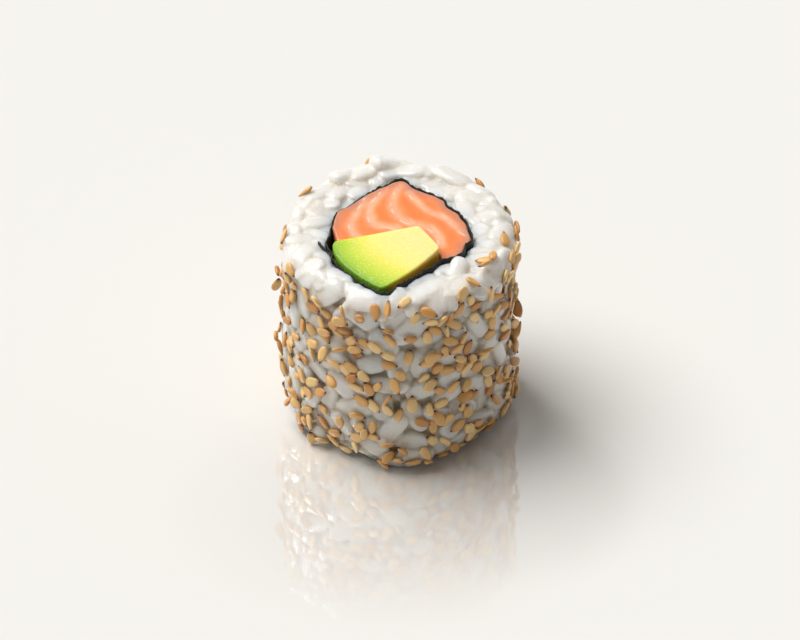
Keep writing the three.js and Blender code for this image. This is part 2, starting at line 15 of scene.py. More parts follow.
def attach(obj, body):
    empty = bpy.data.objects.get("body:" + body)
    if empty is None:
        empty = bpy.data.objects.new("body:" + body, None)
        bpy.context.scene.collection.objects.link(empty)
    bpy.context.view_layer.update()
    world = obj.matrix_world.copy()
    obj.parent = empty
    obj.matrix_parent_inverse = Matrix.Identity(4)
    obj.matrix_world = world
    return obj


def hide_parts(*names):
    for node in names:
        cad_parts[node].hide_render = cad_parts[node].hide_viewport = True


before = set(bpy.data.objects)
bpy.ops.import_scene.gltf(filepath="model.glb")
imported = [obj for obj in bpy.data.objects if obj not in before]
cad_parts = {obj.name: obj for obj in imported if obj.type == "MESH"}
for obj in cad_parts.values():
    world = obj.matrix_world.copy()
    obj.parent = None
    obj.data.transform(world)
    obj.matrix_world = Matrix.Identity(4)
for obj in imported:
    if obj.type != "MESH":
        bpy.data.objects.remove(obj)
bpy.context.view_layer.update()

MM = 0.001

# ---- The roll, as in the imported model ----

ROLL_RADIUS = 21.7
ROLL_HEIGHT = 40.4
TOP_RIM_RADIUS = 3.2
CLEARANCE = 0.3
NORI_THICKNESS = 0.4
TAPER = 0.88
FILLING_LIFT = 0.15
RIM_ARC = TOP_RIM_RADIUS * math.pi / 2
RIM_START = ROLL_HEIGHT - TOP_RIM_RADIUS
RIM_END = RIM_START + RIM_ARC

# Where the lower edge is worn: azimuth, spread, extra depth, extra height.
EDGE_WEAR = [(318, 30, 3.9, 4.5), (237, 15, 3.0, 3.0)]
EDGE_DEPTH = 2.1
EDGE_HEIGHT = 5.5
# Gentle waves of the wall and of the top: azimuth, spread, change.
WALL_WAVES = [(240, 22, -0.7), (5, 25, -0.3), (190, 14, 0.4), (95, 40, 0.1)]
TOP_RISES = [(98, 42, 1.7), (205, 25, 0.3)]
RISE_FADE = 7.0

# The nori seen from above, as [x, y, height over the rice].
NORI_LOOP = [
    (13.2, -1.9, 1.0), (11.8, 3.1, 0.9), (9.8, 6.1, 0.9), (7.5, 8.7, 1.0),
    (4.2, 11.4, 1.2), (0.1, 13.9, 1.4), (-3.5, 12.3, 1.1), (-6.5, 10.0, 0.9),
    (-10.5, 5.8, 0.8), (-12.9, 1.9, 0.8), (-13.6, -2.4, 0.7), (-13.4, -6.3, 0.4),
    (-11.9, -10.0, 0.3), (-9.4, -13.1, 0.2), (-7.1, -15.8, 0.2), (-4.0, -18.4, 0.3),
    (-1.3, -17.8, 0.6), (0.7, -16.3, 0.9), (2.9, -14.3, 1.0), (5.7, -11.9, 1.1),
    (8.3, -9.6, 1.0), (10.9, -7.6, 1.0), (12.7, -5.1, 1.0),
]
LOOP_SAMPLES = 2880
NORI_TAIL = [(-12.7, -8.2, 0.3), (-13.5, -6.7, 0.6), (-14.3, -5.5, 0.9), (-15.1, -4.1, 1.0)]

# Scallops of the nori: how many round the loop, how deep, and where they start.
SCALLOPS = [(9, 0.20, 0.1), (13, 0.20, 0.45), (21, 0.13, 0.7), (34, 0.06, 0.2)]
# Where the nori is tucked in against the avocado: azimuth, spread, depth.
TUCK = (196, 22, 0.5)

AVOCADO_TIP, AVOCADO_RIGHT = np.array([-3.4, -17.7]), np.array([7.5, -7.8])
AVOCADO_BACK, AVOCADO_LEFT = np.array([3.6, -1.6]), np.array([-12.4, -4.3])
AVOCADO_SKIN = np.array([(-12.6, -8.4), (-9.0, -13.4)])
AVOCADO_BULGE = np.array([2.9, -13.7])
AVOCADO_ROUNDING = 0.9
AVOCADO_TOP = (2.7, 0.088, 0.1)
SALMON_TOP = (0.85, -0.015, 0.03)

GRAIN_PLACES = 225
GRAIN_LENGTH = (6.6, 8.8)
GRAIN_WIDTH = (3.6, 4.9)
GRAIN_THICKNESS = (2.5, 3.2)
# The largest grains of the wall: azimuth, reach, turn, length, width.
LARGE_GRAINS = [
    (250, 34, -12, 8.6, 5.6), (279, 33.5, 8, 9.4, 5.6), (256, 24.5, 20, 7.0, 4.6),
    (314, 29.5, 88, 8.6, 4.0), (268, 11, 40, 9.4, 4.6), (240, 14.5, -15, 8.4, 4.6),
    (221, 21, -45, 8.2, 4.2), (207, 29.5, -60, 8.0, 4.4),
]

SEED_PLACES = 430
SEED_LENGTH = 3.3
SEED_WIDTH = 1.95
SEED_THICKNESS = 1.0
LOWEST_SEED = 1.2
EDGE_SEEDS = 0.3                    # share of seeds that lie well off flat
SEED_LEAN = np.array([0.45, 0.95])  # how far they may tip and roll, radians
FLAT_LEAN = 0.15                    # share of that for the others
SEED_SINK, LEAN_SINK = 0.12, 0.25   # how far seeds press in, and for each radian of lean
# Seeds that stand apart near the top: azimuth, reach, turn.
UPPER_SEEDS = [
    (250, 36, -110), (258, 38, -80), (264, 39, 85), (264, 34.5, 140), (242, 31, -20),
    (236, 32, 35), (226, 31, 130), (228, 28, -35), (220, 25, 180), (217, 36, -40),
    (207, 35.5, 55), (204, 38, -25), (226, 36, -40), (221, 33.5, -5), (239, 27, 5),
    (247, 27, 35), (250, 30, 160), (257, 30, 150), (265, 32, 140), (242, 23, 135),
    (186, 30, 75), (192, 34, 20), (172, 38.5, 30), (182, 39.5, -30), (272, 40, -145),
    (284, 38, -25), (285, 36, -165), (289.5, 36, -120), (295, 36, 70), (301, 36.5, 55),
    (299, 33, -35), (284, 32, 95), (302, 30, 70), (310, 33, -60), (302, 39.5, -135),
    (307, 38, 105), (311, 40.5, -60), (328, 42.6, 115), (323, 41.6, 170), (335, 41.8, 20),
    (354, 41, 15), (5, 38.5, 45), (354, 38, -170), (344, 39, 25), (335, 37, -90),
    (328, 32, 155), (322, 29.5, -90), (322, 26.5, -15), (332, 26, 130), (306, 27, 60),
]
# Where the wall has few seeds: azimuth, reach, half width in degrees, half height.
BARE_PATCHES = [
    (250, 34, 10, 3.6), (277, 33.5, 10, 3.6), (257, 24.5, 7, 2.6), (273, 25.5, 4, 2),
    (314, 29, 4.5, 5), (238, 14.5, 8, 3.2), (268, 10.5, 10, 3.4), (282, 16.5, 5, 1.6),
    (325, 21.5, 6, 3), (210, 29.5, 8, 2.6), (222, 19.5, 8, 2.6), (254, 5.5, 5, 1.8),
    (120, 30, 12, 5), (60, 22, 10, 4), (150, 14, 12, 4), (90, 34, 16, 4), (30, 33, 8, 5),
]

# ---- What only the visual model has ----

CAMERA_ELEVATION = 38.5
CAMERA_DISTANCE = 1500.0
CAMERA_AIM = 19.5
CAMERA_LENS = 361.0
CAMERA_SENSOR = 36.0

# Suns: name, azimuth, elevation, strength, size in degrees and colour.
SUNS = [
    ("key", 161, 60, 3.06, 44, (1.0, 0.985, 0.96)),
    ("glint", 126, 48, 0.35, 9, (1.0, 1.0, 1.0)),
    ("fill", 236, 56, 0.4, 70, (1.0, 0.98, 0.94)),
]
STUDIO_FRONT = 0.06
STUDIO_BACK = 0.52
STUDIO_FADE = (-0.5, 0.6)           # the studio's glow goes from front to back between these
STUDIO_COLOR = (1.0, 0.99, 0.975)

FLOOR_HALF = 2000.0
GLOSS_MIDDLE = 30.0                 # the middle of the glossy spot, this far in front
GLOSS_HALF = (46.0, 37.0)           # its half width and half depth

CORE_INSET = 1.9
CORE_INSET_TOP = 0.85
FLOOR_GAP = 0.02
GRAIN_GAP = 0.08                    # left between a grain and the nori
GRAIN_RINGS, GRAIN_SIDES = 12, 18   # mesh of one grain, and of one seed
SEED_RINGS, SEED_SIDES = 12, 14
DEEP_GRAINS = 230
DEEP_TILT = 0.25
DEEP_PROUD = (-1.7, -0.9)

# The largest grains round the top cut:
# (azimuth, reach, turn, tilt, length, width, thickness, how far it stands out).
RING_CHUNKS = [
    (230, 38.5, 50, 0, 6.6, 4.6, 3.2, 0.5), (252.5, 40.0, 10, 0, 8.4, 5.0, 3.4, 0.6),
    (267.5, 43.6, 8, 0, 4.6, 3.2, 2.6, 0.7), (280, 45.2, 50, 10, 3.8, 2.4, 2.4, 0.9),
    (289, 46.2, 1, -8, 3.8, 2.4, 2.4, 0.9), (285, 42.8, 25, 5, 9.4, 4.4, 3.2, 0.9),
    (313.5, 45.4, 22, 18, 5.4, 3.6, 3.4, 1.8), (306, 46.8, -11, 0, 4.8, 3.0, 2.8, 1.0),
    (304.5, 41.4, 1, 0, 8.0, 4.4, 3.0, 0.7), (320, 39.0, 10, 0, 7.0, 5.0, 3.2, 0.6),
    (331.5, 44.0, -52, 8, 6.0, 4.0, 3.0, 0.6), (1, 41.4, -31, 0, 6.5, 4.0, 3.0, 0.6),
    (16.5, 42.8, 88, -6, 5.5, 4.0, 3.2, 0.9), (38.5, 44.0, 32, 10, 5.5, 3.8, 3.0, 0.9),
    (17, 46.2, 13, 0, 4.5, 2.8, 2.6, 0.5), (59.5, 41.6, 1, 8, 8.4, 4.8, 3.4, 1.2),
    (41, 40.5, 19, 0, 6.0, 4.0, 3.0, 0.9), (62, 47.0, 3, 0, 3.8, 2.6, 2.4, 0.4),
    (49.5, 46.6, 0, 0, 3.6, 2.4, 2.4, 0.4), (84.5, 43.4, -5, -6, 7.5, 4.2, 3.2, 0.9),
    (98, 41.5, 17, 15, 6.4, 4.6, 3.6, 1.6), (113, 42.8, 2, 0, 6.4, 3.8, 3.2, 1.0),
    (124, 41.2, 16, 10, 5.6, 4.4, 3.6, 1.5), (136, 44.6, 24, 20, 5.2, 3.2, 3.0, 0.9),
    (124, 46.8, -4, 0, 4.2, 3.2, 2.8, 0.5), (142.5, 41.6, -8, 6, 7.0, 4.0, 3.2, 0.7),
    (156.5, 39.9, -6, 0, 7.0, 4.4, 3.2, 0.6), (168.5, 45.0, -58, 8, 6.0, 3.4, 3.0, 0.7),
    (194, 39.0, -24, 0, 7.6, 4.2, 3.2, 0.5), (199.5, 42.4, -50, 0, 6.0, 3.8, 3.0, 0.8),
    (211.5, 39.3, -2, 0, 7.0, 4.4, 3.2, 0.5), (230, 43.2, 10, 6, 6.5, 3.6, 3.0, 0.8),
    (207, 45.0, 13, 0, 4.6, 3.0, 2.8, 0.6),
]
RING_GRAINS = 88
RING_LENGTH = (4.4, 6.4)
RING_WIDTH = (2.8, 3.8)
RING_THICKNESS = (2.2, 3.0)
RING_TILT = 0.4
RING_PROUD = (0.0, 0.5)
OVERHANG = 0.7                      # how far a grain may reach over the nori's edge
MORE_ROLL, MORE_TILT = 0.22, 0.12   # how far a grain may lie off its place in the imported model
MORE_PROUD = (-0.45, 0.35)
OUTER_SIZES = {"length": 0.95, "width": 0.93}
FLATNESS = (0.45, 0.45, 0.38)       # of the outer grains, the deep ones and the ring
CUT_FROM, CUT_FADE = 36.0, 3.0      # the cut face starts here, and is whole so much higher
CUT_LEVELLING = 0.42                # share of its relief that the knife took
SKIN_VOXEL = 0.25
SKIN_SOFTENING = 0.25
SKIN_TRIANGLES = 192000

# Pale bands of fat in the salmon, as [x, y] points along the middle of each, with a width.
FAT_BANDS = [
    (1.00, [(-6.4, 9.0), (-8.2, 4.2), (-9.2, 1.2), (-8.6, -1.5), (-7.3, -3.0)]),
    (1.15, [(-3.4, 10.8), (-5.4, 7.2), (-5.8, 4.2), (-4.9, 1.2), (-2.4, 0.6), (-0.6, 0.0)]),
    (1.05, [(-0.4, 12.3), (-1.5, 8.1), (-1.1, 5.1), (0.9, 2.1), (3.6, 1.2), (5.6, 0.0), (7.1, -2.7),
            (7.5, -4.8)]),
    (0.85, [(1.5, 10.8), (3.6, 7.2), (5.8, 4.8), (8.8, 2.7), (11.0, -0.3), (12.5, -1.8)]),
]
SALMON_KERNEL = (5.0, 1.0)
SALMON_FRONT = [(7.3, -12.0), (7.3, -7.8), (-11.7, -3.7), (-13.0, 2.6), (-17.0, 4.0)]


# ---- Seeded random numbers, the same as in the part's source ----

WORD = 0xFFFFFFFF
GRAIN_DRAWS, SESAME_DRAWS, VISUAL_DRAWS = 20417, 90210, 7


def make_random(seed):
    state = seed & WORD

    def draw():
        nonlocal state
        state = (state + 0x6D2B79F5) & WORD
        t = state
        t = ((t ^ (t >> 15)) * (t | 1)) & WORD
        t ^= (t + ((t ^ (t >> 7)) * (t | 61) & WORD)) & WORD
        return ((t ^ (t >> 14)) & WORD) / 4294967296

    return draw


def between(limits, draw):
    return limits[0] + (limits[1] - limits[0]) * draw


# ---- The roll's outer surface ----

def azimuth_of(points):
    return np.degrees(np.arctan2(points[..., 1], points[..., 0])) % 360


def turn_difference(a, b):
    return (a - b + 540) % 360 - 180


def bell(azimuth, centre, spread):
    return np.exp(-((turn_difference(azimuth, centre) / spread) ** 2))


def wall_radius(azimuth, height):
    radius = ROLL_RADIUS + sum(change * bell(azimuth, c, s) for c, s, change in WALL_WAVES)
    depth = EDGE_DEPTH + sum(deeper * bell(azimuth, c, s) for c, s, deeper, _ in EDGE_WEAR)
    rise = EDGE_HEIGHT + sum(higher * bell(azimuth, c, s) for c, s, _, higher in EDGE_WEAR)
    low = np.maximum(0, 1 - height / rise)
    return radius - depth * (1 - np.sqrt(1 - low * low * 0.98))


def top_rise(azimuth):
    return sum(rise * bell(azimuth, centre, spread) for centre, spread, rise in TOP_RISES)


def profile(azimuth, reach):
    """Radius and height of a place, and its outward normal in the same plane."""
    azimuth, reach = np.broadcast_arrays(np.asarray(azimuth, float), np.asarray(reach, float))
    wall = wall_radius(azimuth, reach)
    slope = (wall_radius(azimuth, reach + 0.1) - wall) / 0.1
    size = np.hypot(1, slope)
    inner = wall_radius(azimuth, RIM_START) - TOP_RIM_RADIUS
    angle = np.clip((reach - RIM_START) / TOP_RIM_RADIUS, 0, math.pi / 2)
    on_wall = reach <= RIM_START
    on_rim = reach <= RIM_END
    rim = inner + TOP_RIM_RADIUS * np.cos(angle)
    radius = np.where(on_wall, wall, np.where(on_rim, rim, inner - (reach - RIM_END)))
    rise = top_rise(azimuth)
    height = np.where(on_wall, reach, RIM_START + (TOP_RIM_RADIUS + rise) * np.sin(angle))
    flat = ROLL_HEIGHT + rise * np.maximum(0, 1 - (reach - RIM_END) / RISE_FADE)
    height = np.where(on_wall | on_rim, height, flat)
    out_r = np.where(on_wall, 1 / size, np.where(on_rim, np.cos(angle), 0))
    out_z = np.where(on_wall, -slope / size, np.where(on_rim, np.sin(angle), 1))
    return radius, height, out_r, out_z


# ---- Outlines seen from above ----

def smooth_path(points, count, closed):
    """Points along a uniform Catmull-Rom curve, count for a whole closed loop or open path."""
    points = np.array(points, float)
    total = len(points)
    spans = total if closed else total - 1
    place = np.arange(count) / (count if closed else count - 1) * spans
    first = np.minimum(np.floor(place).astype(int), spans - 1)
    w = (place - first)[:, None]
    if closed:
        p0, p1, p2, p3 = (points[(first + k) % total] for k in (-1, 0, 1, 2))
    else:
        ends = np.vstack([2 * points[0] - points[1], points, 2 * points[-1] - points[-2]])
        p0, p1, p2, p3 = (ends[first + k] for k in (0, 1, 2, 3))
    t0, t1 = 0.5 * (p2 - p0), 0.5 * (p3 - p1)
    return p1 + t0 * w + (3 * (p2 - p1) - 2 * t0 - t1) * w ** 2 + (2 * (p1 - p2) + t0 + t1) * w ** 3


def beside(path, offset, closed):
    """A path moved to its right by an offset: outwards, for a loop that runs anticlockwise."""
    if closed:
        along = np.roll(path, -1, 0) - np.roll(path, 1, 0)
    else:
        along = np.gradient(path, axis=0)
    along = along[:, :2] / np.linalg.norm(along[:, :2], axis=1, keepdims=True)
    moved = path.copy()
    moved[:, 0] += along[:, 1] * offset
    moved[:, 1] -= along[:, 0] * offset
    return moved


def loop_by_degree(loop):
    """Radius of the nori loop, and its height over the rice, in each direction."""
    index = np.floor(np.degrees(np.arctan2(loop[:, 1], loop[:, 0])) + 0.5).astype(int) % 360
    radii, rises = np.zeros(360), np.zeros(360)
    np.maximum.at(radii, index, np.hypot(loop[:, 0], loop[:, 1]))
    np.maximum.at(rises, index, loop[:, 2])
    return radii, rises


LOOP_RADII, _ = loop_by_degree(smooth_path(NORI_LOOP, LOOP_SAMPLES, True))


def scalloped_loop(count):
    """The nori loop as it really bends, with shallow scallops round the filling."""
    path = smooth_path(NORI_LOOP, count, True)
    place = np.arange(count) / count
    bend = sum(size * np.sin(2 * math.pi * (turns * place + start)) for turns, size, start in SCALLOPS)
    azimuth = np.degrees(np.arctan2(path[:, 1], path[:, 0]))
    bend = bend - TUCK[2] * bell(azimuth, TUCK[0], TUCK[1])
    outward = beside(path, 1.0, True)[:, :2] - path[:, :2]
    return np.column_stack([path[:, :2] + outward * bend[:, None], path[:, 2]])


def nori_radius(azimuth):
    return LOOP_RADII[np.floor(np.asarray(azimuth, float) + 0.5).astype(int) % 360]


BENT_RADII, BENT_RISES = loop_by_degree(scalloped_loop(LOOP_SAMPLES))


def read_round(table, azimuth):
    """A table with a row for each whole degree, read between its rows."""
    return np.interp(np.asarray(azimuth, float) % 360, np.arange(361), np.append(table, table[0]))


def narrowing(height):
    return TAPER + (1 - TAPER) * np.clip(height / ROLL_HEIGHT, 0, 1)


def nori_room(azimuth, height, gap):
    """Radius of the room that the nori needs in the rice, with a gap round it."""
    return read_round(BENT_RADII, azimuth) * narrowing(height) + NORI_THICKNESS / 2 + gap


def top_limit(azimuth, keep_away):
    inner = wall_radius(azimuth, RIM_START) - TOP_RIM_RADIUS
    return RIM_END + inner - nori_radius(azimuth) - NORI_THICKNESS / 2 - CLEARANCE - keep_away


# ---- Rice grains and seeds: where they lie ----
# Pieces are kept as a table with one numpy array for each property.

def place_at(azimuth, reach):
    return [azimuth, reach, float(profile(azimuth, reach)[0])]


def scatter(count, candidates, draw_place, placed):
    """Puts pieces down one by one, each at the candidate farthest from those already down."""
    table = np.zeros((count, 3))
    table[:len(placed)] = placed if placed else np.zeros((0, 3))
    for done in range(len(placed), count):
        best, best_gap = None, -1
        for _ in range(candidates):
            option = draw_place()
            others = table[:done]
            across = np.radians(turn_difference(option[0], others[:, 0]))
            du = across * 0.5 * (option[2] + others[:, 2])
            gap = np.min(du * du + (option[1] - others[:, 1]) ** 2, initial=np.inf)
            if gap > best_gap:
                best, best_gap = option, gap
        table[done] = best
    return {"azimuth": table[:, 0].copy(), "reach": table[:, 1].copy(), "radius": table[:, 2].copy()}


def spread_apart(pieces, passes, tightness, limits):
    """Pushes pieces apart along the surface, each taken as a row of three discs."""
    count = len(pieces["azimuth"])
    first, second = np.triu_indices(count, 1)
    steps = np.array([-1.0, 0.0, 1.0])
    for _ in range(passes):
        azimuth, reach, radius = pieces["azimuth"], pieces["reach"], pieces["radius"]
        length, width, turn = pieces["length"], pieces["width"], pieces["turn"]
        du = np.radians(turn_difference(azimuth[first], azimuth[second]))
        du = du * 0.5 * (radius[first] + radius[second])
        ds = reach[first] - reach[second]
        close = np.hypot(du, ds) < 0.5 * (length[first] + length[second])
        i, j, du, ds = first[close], second[close], du[close], ds[close]
        arm = 0.5 * (length - width)
        side = (arm * np.cos(turn))[:, None] * steps, (arm * np.sin(turn))[:, None] * steps
        au, a_s = side[0][i][:, :, None], side[1][i][:, :, None]
        bu, b_s = side[0][j][:, None, :], side[1][j][:, None, :]
        u = du[:, None, None] + au - bu
        s = ds[:, None, None] + a_s - b_s
        distance = np.hypot(u, s) + 1e-6
        need = (0.5 * (width[i] + width[j]) * tightness)[:, None, None]
        push = np.where(distance < need, 0.12 * (need - distance) / distance, 0)
        move = np.zeros((count, 3))
        for k, (axis_i, axis_j) in enumerate([(u * push, -u * push), (s * push, -s * push)]):
            np.add.at(move[:, k], i, axis_i.sum((1, 2)))
            np.add.at(move[:, k], j, axis_j.sum((1, 2)))
        np.add.at(move[:, 2], i, ((au * s - a_s * u) * push * 0.12).sum((1, 2)))
        np.add.at(move[:, 2], j, -((bu * s - b_s * u) * push * 0.12).sum((1, 2)))
        pieces["azimuth"] = (azimuth + np.degrees(move[:, 0] / radius) + 360) % 360
        pieces["reach"] = limits(pieces, reach + move[:, 1])
        pieces["radius"] = profile(pieces["azimuth"], pieces["reach"])[0]
        pieces["turn"] = turn + np.clip(move[:, 2], -0.2, 0.2)


def add_columns(pieces, names, rows):
    for name, values in zip(names, np.array(rows).T):
        pieces[name] = values.copy()


def rice_grains():
    random = make_random(GRAIN_DRAWS)

    def draw_place():
        azimuth = 360 * random()
        return place_at(azimuth, 0.8 + (top_limit(azimuth, 1.2) - 0.8) * random())

    large = [place_at(azimuth, reach) for azimuth, reach, *_ in LARGE_GRAINS]
    grains = scatter(GRAIN_PLACES, 8, draw_place, large)
    rows = []
    for i in range(GRAIN_PLACES):
        on_top = min(1, max(0, (grains["reach"][i] - RIM_START) / RIM_ARC))
        length = between(GRAIN_LENGTH, random()) * (1 - 0.16 * on_top)
        width = between(GRAIN_WIDTH, random()) * (1 - 0.18 * on_top)
        thickness = between(GRAIN_THICKNESS, random())
        turn = math.pi * random()
        tilt = (random() - 0.5) * (0.25 + 0.45 * on_top)
        proud = -0.35 + (0.6 + 0.35 * on_top) * random()
        if i < len(LARGE_GRAINS):
            turn, length, width = LARGE_GRAINS[i][2:]
            turn, proud = math.radians(turn), 0.1
        rows.append((length, width, thickness, turn, tilt, proud))
    add_columns(grains, ("length", "width", "thickness", "turn", "tilt", "proud"), rows)

    def limits(pieces, reach):
        across = 0.5 * pieces["length"] * np.abs(np.sin(pieces["turn"])) + 0.25 * pieces["width"]
        return np.maximum(0.6, np.minimum(top_limit(pieces["azimuth"], across), reach))

    spread_apart(grains, passes=24, tightness=0.92, limits=limits)
    return grains


def seed_density(azimuth, reach):
    if reach > RIM_START + 1.5:
        return 0.02
    for centre, height, half_width, half_height in BARE_PATCHES:
        u = turn_difference(azimuth, centre) / half_width
        s = (reach - height) / half_height
        if u * u + s * s < 1:
            return 0.04
    low = 1 - max(0, (reach - 24) / 22)
    return low * (0.82 + 0.18 * math.cos(math.radians(azimuth - 320)))


def sesame_seeds():
    random = make_random(SESAME_DRAWS)

    def draw_place():
        while True:
            azimuth = 360 * random()
            reach = LOWEST_SEED + (RIM_END - LOWEST_SEED) * random()
            if random() < seed_density(azimuth, reach):
                return place_at(azimuth, reach)

    upper = [place_at(azimuth, reach) for azimuth, reach, _ in UPPER_SEEDS]
    seeds = scatter(SEED_PLACES, 3, draw_place, upper)
    rows = []
    for i in range(SEED_PLACES):
        size = 0.88 + 0.24 * random()
        length = SEED_LENGTH * size
        width = SEED_WIDTH * size * (0.92 + 0.16 * random())
        turn = 2 * math.pi * random()
        if i < len(UPPER_SEEDS):
            turn = math.radians(UPPER_SEEDS[i][2])
        rows.append((length, width, SEED_THICKNESS, turn))
    add_columns(seeds, ("length", "width", "thickness", "turn"), rows)
    spread_apart(seeds, passes=6, tightness=0.8,
                 limits=lambda pieces, reach: np.clip(reach, LOWEST_SEED, RIM_END + 1))
    return seeds


def turned(first, second, angle):
    """Two perpendicular axes turned in their own plane, the first towards the second."""
    return first * np.cos(angle) + second * np.sin(angle), second * np.cos(angle) - first * np.sin(angle)


def piece_frames(pieces):
    """Centre, long axis, width axis and outward axis of every piece."""
    radius, height, out_r, out_z = profile(pieces["azimuth"], pieces["reach"])
    angle = np.radians(pieces["azimuth"])
    cos, sin, none = np.cos(angle), np.sin(angle), np.zeros_like(angle)
    normal = np.stack([cos * out_r, sin * out_r, out_z], 1)
    around = np.stack([-sin, cos, none], 1)
    up = np.cross(normal, around)
    turn = pieces["turn"][:, None]
    along = around * np.cos(turn) + up * np.sin(turn)
    across = np.cross(normal, along)
    tilt = pieces["tilt"][:, None]
    along, out = turned(along, normal, tilt)
    if "roll" in pieces:
        roll = pieces["roll"][:, None]
        across, out = turned(across, out, roll)
    depth = (pieces["proud"] - 0.5 * pieces["thickness"])[:, None]
    centre = np.stack([cos * radius, sin * radius, height], 1) + normal * depth
    return centre, along, across, out


# ---- Meshes ----

def make_object(name, points, faces, attributes=None, smooth=True):
    """An object from points in millimetres and an array of faces with three or four corners."""
    mesh = bpy.data.meshes.new(name)
    points = np.asarray(points, np.float32) * MM
    faces = [np.asarray(part, np.int32) for part in faces]
    corners = np.concatenate([part.ravel() for part in faces])
    sizes = np.concatenate([np.full(len(part), part.shape[1], np.int32) for part in faces])
    starts = np.concatenate([[0], np.cumsum(sizes)[:-1]]).astype(np.int32)
    mesh.vertices.add(len(points))
    mesh.vertices.foreach_set("co", points.ravel())
    mesh.loops.add(len(corners))
    mesh.loops.foreach_set("vertex_index", corners)
    mesh.polygons.add(len(sizes))
    mesh.polygons.foreach_set("loop_start", starts)
    mesh.polygons.foreach_set("use_smooth", np.full(len(sizes), smooth))
    mesh.update(calc_edges=True)
    mesh.validate()
    for key, values in (attributes or {}).items():
        layer = mesh.attributes.new(key, "FLOAT", "POINT")
        layer.data.foreach_set("value", np.asarray(values, np.float32))
    made = bpy.data.objects.new(name, mesh)
    bpy.context.collection.objects.link(made)
    return made


def grid_faces(rows, columns, closed_rows, closed_columns):
    """Quads of a grid of points, row by row."""
    i = np.arange(rows if closed_rows else rows - 1)[:, None]
    j = np.arange(columns if closed_columns else columns - 1)[None, :]
    a = i * columns + j
    b = i * columns + (j + 1) % columns
    c = (i + 1) % rows * columns + (j + 1) % columns
    d = (i + 1) % rows * columns + j
    return np.stack([a, b, c, d], -1).reshape(-1, 4)


def oval_template(rings, sides, ends, section):
    """A closed unit oval along x. Higher powers make blunter ends and a squarer section."""
    theta = np.linspace(0, math.pi, rings + 2)[1:-1][:, None]
    phi = np.arange(sides)[None, :] * 2 * math.pi / sides

    def power(value, exponent):
        return np.sign(value) * np.abs(value) ** (2 / exponent)

    wide = power(np.sin(theta), ends)
    ring = np.stack([np.broadcast_to(-power(np.cos(theta), ends), (rings, sides)),
                     wide * power(np.cos(phi), section), wide * power(np.sin(phi), section)], -1)
    points = np.vstack([ring.reshape(-1, 3), [[-1, 0, 0], [1, 0, 0]]])
    quads = grid_faces(rings, sides, False, True)
    low, high, last = rings * sides, rings * sides + 1, (rings - 1) * sides
    j = np.arange(sides)
    start = np.stack([np.full(sides, low), (j + 1) % sides, j], 1)
    end = np.stack([np.full(sides, high), last + j, last + (j + 1) % sides], 1)
    return points, quads, np.vstack([start, end])


def repeated(faces, copies, points_each):
    return (faces[None] + (np.arange(copies) * points_each)[:, None, None]).reshape(-1, faces.shape[1])


def keep_clear(points, gap):
    """Moves points off the floor, and out of the room that the nori needs."""
    x, y, z = points[..., 0], points[..., 1], points[..., 2]
    radius, azimuth = np.hypot(x, y), azimuth_of(points)
    edge = ROLL_HEIGHT + read_round(BENT_RISES, azimuth)
    room = nori_room(azimuth, z, gap) - OVERHANG * np.clip((z - edge - 0.1) / 0.4, 0, 1)
    scale = np.maximum(1, room / np.maximum(radius, 1e-6))
    return np.stack([x * scale, y * scale, np.maximum(z, FLOOR_GAP)], -1)


def in_place(pieces, x, y, z):
    """Points of every piece, from shares of its half length, half width and half thickness."""
    centre, *axes = piece_frames(pieces)
    points = centre[:, None]
    for axis, share, size in zip(axes, (x, y, z), ("length", "width", "thickness")):
        points = points + axis[:, None] * (share * 0.5 * pieces[size][:, None])[..., None]
    return points


def grain_mesh(grains, generator, flatten):
    """Points and faces of every grain, each with its own bend, taper and dents."""
    unit, quads, caps = oval_template(GRAIN_RINGS, GRAIN_SIDES, 2.6, 2.4)
    count = len(grains["azimuth"])
    x, y, z = (np.broadcast_to(unit[:, k], (count, len(unit))).copy() for k in range(3))
    amount = generator.uniform(-1, 1, (count, 8))[:, :, None]
    phase = generator.uniform(0, 2 * math.pi, (count, 4))[:, :, None]
    spin = np.arctan2(z, y)
    swell = 1 + 0.10 * amount[:, 0] * x + 0.035 * amount[:, 1] * np.cos(3.1 * x + phase[:, 0])
    swell += (0.030 * np.cos(2 * spin + phase[:, 1])
              + 0.02 * amount[:, 2] * np.cos(5.3 * x + spin + phase[:, 2]))
    y, z = y * swell, z * swell
    y += 0.16 * amount[:, 3] * (x * x - 0.4)
    z += 0.10 * amount[:, 4] * (x * x - 0.4)
    z = np.where(z > 0.55, 0.55 + (z - 0.55) * (1 - flatten), z)
    points = keep_clear(in_place(grains, x, y, z), GRAIN_GAP).reshape(-1, 3)
    return points, [repeated(faces, count, len(unit)) for faces in (quads, caps)]


def draw_shapes(grains, generator, length, width, thickness, tilt, proud):
    """Draws the size and the lie of each grain, evenly between limits."""
    limits = {"length": length, "width": width, "thickness": thickness,
              "turn": (0, 2 * math.pi), "tilt": (-tilt, tilt), "proud": proud}
    draws = generator.random((len(grains["azimuth"]), len(limits)))
    for (name, (low, high)), drawn in zip(limits.items(), draws.T):
        grains[name] = low + (high - low) * drawn


